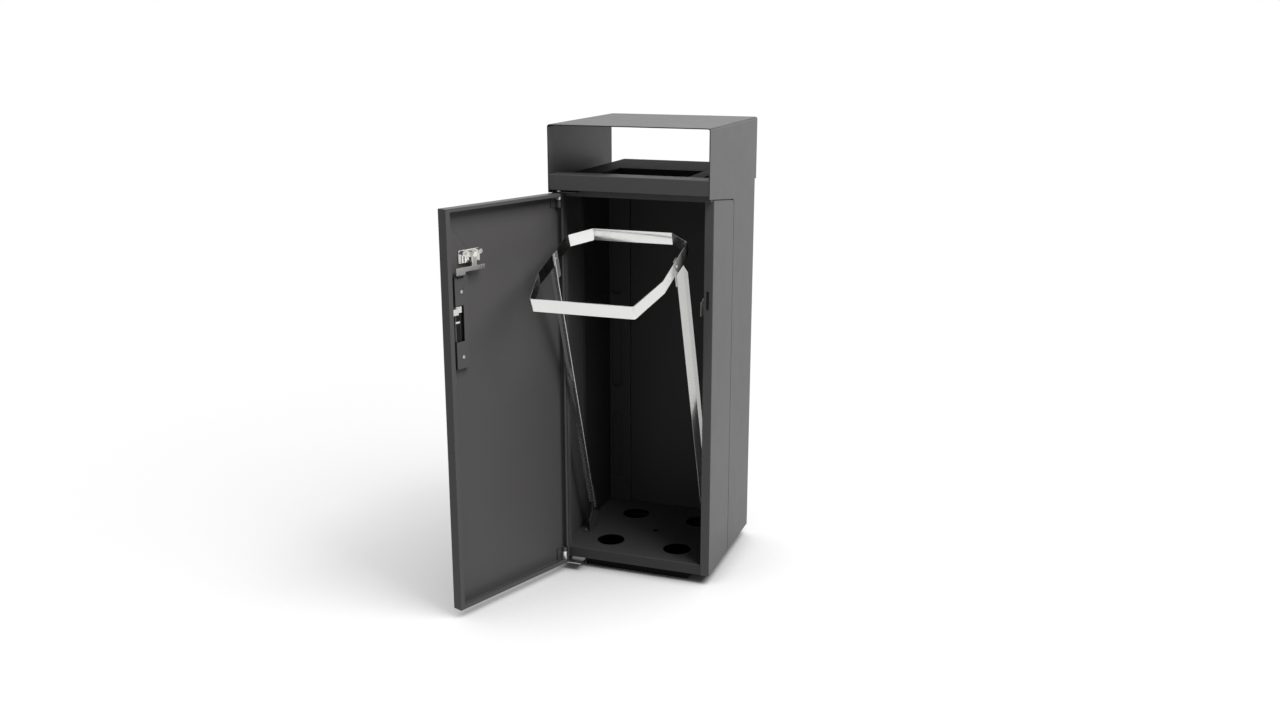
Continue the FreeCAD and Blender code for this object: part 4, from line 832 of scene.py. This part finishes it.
class BIN_OT_lock(bpy.types.Operator):
    """Makes the lock's die-cast body, plates its lever and core, and finishes the sliding bar"""

    bl_idname = "waste_bin.lock"
    bl_label = "Lock"

    def execute(self, context):
        finish = context.scene.bin_finish
        zinc, edge = finish.zinc, finish.edge
        outward, across = door_axes()
        lever = rolled_metal("lever_zinc", zinc, 0.3, (1, 1, 8), mark=0.06, spangle=0.25)
        nickel = rolled_metal("lock_nickel", finish.nickel, 0.13, (1, 1, 4), mark=0.03)
        finger = rolled_metal("finger_zinc", toned(zinc, 1.2), 0.3, (1, 1, 4), mark=0.05)
        bar = [vertex.co for vertex in frame["nodes"]["bolt_bar"].data.vertices]
        # Painted shade: the bar is near-black except along its edge and at two bands
        limit = extent(bar, across)[0] + BRIGHT_EDGE
        bar_shade = shaded_bar_finish((0.02, 0.02, 0.021), toned(zinc, 1.3), across, limit)
        dress(["lock_lever"], lever, edge * SMALL_EDGE)
        dress(LOCK_NICKEL, nickel, edge * FINE_EDGE)
        dress(["bolt_bar"], bar_shade, edge * SMALL_EDGE)
        dress(["bolt_finger"], finger, edge * SMALL_EDGE)
        self.make_body(nickel, outward, across)
        return {"FINISHED"}

    def make_body(self, nickel, outward, across):
        """Builds the die-cast body, in millimetres round the lock's axis, in the case's place."""
        case = [vertex.co for vertex in frame["nodes"]["lock_case"].data.vertices]
        core = [vertex.co for vertex in frame["nodes"]["lock_core"].data.vertices]
        sheet, top = extent(case, outward)
        thick = (top - sheet) * 1000
        middle = middle_of(extent(core, across))
        height = middle_of(extent(core, UP))
        left, right = [value * 1000 - middle * 1000 for value in extent(case, across)]
        foot, crown = [(value - height) * 1000 for value in extent(case, UP)]
        # Each plate has an outline and the two heights above the door's sheet that it fills
        base, deck, boss, rib = 3, thick - 7, thick - 3.5, thick - 8
        plates = [
            (round_corners(left, foot + 8, right, crown, 3), 0, base),
            (round_corners(-23, -19, 22, crown - 2, 4), base, deck),
            (round_corners(-17, -15, 16, crown - 4, 5), deck, boss),
            (round_outline(0, 0, 11), boss, thick),
        ]
        for side in (left + 7, right - 7):
            upright = round_corners(side - 3, foot + 10, side + 3, crown - 9, 2)
            plates.append((round_outline(side, crown - 7, 6.2), base, thick))
            plates.append((upright, base, rib))
        for tooth in range(6):
            start = -22 + tooth * 7.6
            outline = round_corners(start, foot + 9.5, start + 4.4, -18, 1)
            plates.append((outline, base, rib))
        points, faces = [], []
        door = (outward * sheet + across * middle + Vector((0, 0, height)), across, outward)
        for outline, low, high in plates:
            plate(points, faces, door, outline, low, high)
        made = solid_piece("lock_body", points, faces, nickel, 0.0005)
        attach(made, "door")
        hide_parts("lock_case")


class BIN_OT_seam_strips(bpy.types.Operator):
    """Makes the strips that lie behind the open seams of both sides"""

    bl_idname = "waste_bin.seam_strips"
    bl_label = "Seam strips"

    def execute(self, context):
        # The line of the seam's middle, from the floor up, round its bend and on to the front
        path = [(-0.007, 0.030)]
        bend, radius = (-0.0215, 1.048), 0.0145
        for step in range(8):
            angle = math.radians(12 * step)
            turn = (math.cos(angle), math.sin(angle))
            path.append((bend[0] + radius * turn[0], bend[1] + radius * turn[1]))
        path.append((-0.222, 1.0864))
        points, faces = [], []
        for side in (-1, 1):
            first = len(points)
            for index, (y, z) in enumerate(path):
                before = path[max(index - 1, 0)]
                after = path[min(index + 1, len(path) - 1)]
                along = Vector((after[0] - before[0], after[1] - before[1])).normalized()
                for x in (STRIP_FROM_MIDDLE, STRIP_FROM_MIDDLE - STRIP_THICK):
                    for reach in (STRIP_HALF, -STRIP_HALF):
                        place = (side * x, y + along.y * reach, z - along.x * reach)
                        points.append(Vector(place))
            for low in range(first, first + (len(path) - 1) * 4, 4):
                high = low + 4
                for a, b in ((0, 1), (1, 3), (3, 2), (2, 0)):
                    faces.append([low + a, low + b, high + b, high + a])
            last = first + (len(path) - 1) * 4
            faces.append([first, first + 2, first + 3, first + 1])
            faces.append([last, last + 1, last + 3, last + 2])
        # The strips take the darker inside coat, as painted shade in the seams' grooves
        coat = bpy.data.materials["inside_shade_coat"]
        made = solid_piece("seam_strips", points, faces, coat, 0.0002)
        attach(made, "cabinet")
        return {"FINISHED"}


def seen_by(wiring, *kinds):
    """One for the camera's rays and the named kinds, and nothing for the others."""
    path = wiring.add("ShaderNodeLightPath").outputs
    found = path["Is Camera Ray"]
    for kind in kinds:
        found = wiring.calc("MAXIMUM", found, path[kind])
    return found


def pale_world(strength):
    """White behind the bin and in its reflections, a softer light from all round."""
    world = bpy.data.worlds.new("pale_world")
    bpy.context.scene.world = world
    world.use_nodes = True
    world.node_tree.nodes.clear()
    wiring = Wiring(world.node_tree)
    seen = seen_by(wiring, "Is Glossy Ray", "Is Transmission Ray")
    soft = wiring.take("ShaderNodeBackground", {"Color": WHITE, "Strength": strength})
    white = wiring.take("ShaderNodeBackground", {"Color": WHITE, "Strength": 1.0})
    mix = wiring.take("ShaderNodeMixShader", {0: seen, 1: soft, 2: white})
    wiring.add("ShaderNodeOutputWorld", {"Surface": mix})


def pale_floor(near):
    """A white floor with the bin's soft shadow, partly cast by the lamp and partly painted into its
    glow, that fades into the white behind.
    """
    made = bpy.data.materials.new("studio_floor")
    made.use_nodes = True
    made.node_tree.nodes.clear()
    wiring = Wiring(made.node_tree)
    place = wiring.take("ShaderNodeTexCoord", output="Object")
    away = wiring.take("ShaderNodeVectorMath", {0: place}, "Value", operation="LENGTH")
    open_sky, close_by = [
        wiring.take("ShaderNodeAmbientOcclusion", {"Distance": reach}, "AO", samples=16)
        for reach in (SHADE_REACH, CONTACT_REACH)
    ]
    # Painted shadow: the floor's glow is darkened by ambient occlusion under and beside the bin
    contact = ranged(wiring, close_by, CONTACT_SPAN)
    shade = wiring.calc("MULTIPLY", open_sky, contact)
    shaded_glow = wiring.calc("MULTIPLY", ranged(wiring, away, GLOW_SPAN, (near, 1.0)), shade)
    glow = wiring.calc("MULTIPLY", seen_by(wiring, "Is Glossy Ray"), shaded_glow)
    tone = ranged(wiring, away, GLOW_SPAN, FLOOR_TONES)
    matt = wiring.take("ShaderNodeBsdfDiffuse", {"Color": tone})
    light = wiring.take("ShaderNodeEmission", {"Color": WHITE, "Strength": glow})
    both = wiring.take("ShaderNodeAddShader", {0: matt, 1: light})
    wiring.add("ShaderNodeOutputMaterial", {"Surface": both})
    mesh = bpy.data.meshes.new("studio_floor")
    turns = ((-1, -1), (1, -1), (1, 1), (-1, 1))
    mesh.from_pydata([(x * FLOOR_REACH, y * FLOOR_REACH, 0) for x, y in turns], [], [range(4)])
    mesh.materials.append(made)
    floor = linked("studio_floor", mesh)


def softbox(name, place, aim, side, power):
    """A large square lamp that faces a point."""
    lamp = bpy.data.lights.new(name, "AREA")
    lamp.shape = "RECTANGLE"
    lamp.size = side
    lamp.size_y = side
    lamp.energy = power
    made = linked(name, lamp)
    made.location = place
    made.rotation_euler = (Vector(aim) - Vector(place)).to_track_quat("-Z", "Y").to_euler()
    made.visible_glossy = False


class BIN_OT_studio(bpy.types.Operator):
    """Builds the floor, the light and the camera"""

    bl_idname = "waste_bin.studio"
    bl_label = "Studio"

    def execute(self, context):
        scene = context.scene
        studio = scene.bin_studio
        pale_world(studio.fill)
        pale_floor(studio.floor_near)
        softbox("key_lamp", KEY_PLACE, KEY_AIM, KEY_SIDE, studio.key)
        camera = bpy.data.cameras.new("photo_camera")
        camera.sensor_width = 36
        camera.lens = 35
        camera.clip_end = 200
        made = linked("photo_camera", camera)
        made.location = studio.camera_place
        made.rotation_euler = (math.pi / 2 - studio.camera_fall, 0, studio.camera_turn)
        scene.camera = made
        scene.view_settings.view_transform = "Standard"
        return {"FINISHED"}


class BIN_PT_sidebar(bpy.types.Panel):
    """The bin's settings, and the steps of its finish in order"""

    bl_idname = "BIN_PT_sidebar"
    bl_label = "Waste bin"
    bl_space_type = "VIEW_3D"
    bl_region_type = "UI"
    bl_category = "Waste bin"

    def draw(self, context):
        for name, kind in GROUPS:
            box = self.layout.box()
            for key in kind.__annotations__:
                box.prop(getattr(context.scene, name), key)
        for step in STEPS:
            self.layout.operator(step.bl_idname)


GROUPS = [("bin_finish", BinFinish), ("bin_fixings", BinFixings), ("bin_studio", BinStudio)]
STEPS = [
    BIN_OT_studio, BIN_OT_paintwork, BIN_OT_hinge_zinc, BIN_OT_lock, BIN_OT_bag_frame,
    BIN_OT_seam_strips, BIN_OT_screws, BIN_OT_frame_rivets, BIN_OT_case_rivets,
    BIN_OT_foot_bolts,
]
CLASSES = [kind for name, kind in GROUPS] + STEPS + [BIN_PT_sidebar]


def register():
    for kind in CLASSES:
        bpy.utils.register_class(kind)
    for name, kind in GROUPS:
        setattr(bpy.types.Scene, name, bpy.props.PointerProperty(type=kind))


def unregister():
    for name, kind in reversed(GROUPS):
        delattr(bpy.types.Scene, name)
    for kind in reversed(CLASSES):
        bpy.utils.unregister_class(kind)


def main():
    register()
    for step in STEPS:
        family, action = step.bl_idname.split(".")
        getattr(getattr(bpy.ops, family), action)()


if __name__ == "__main__":
    main()
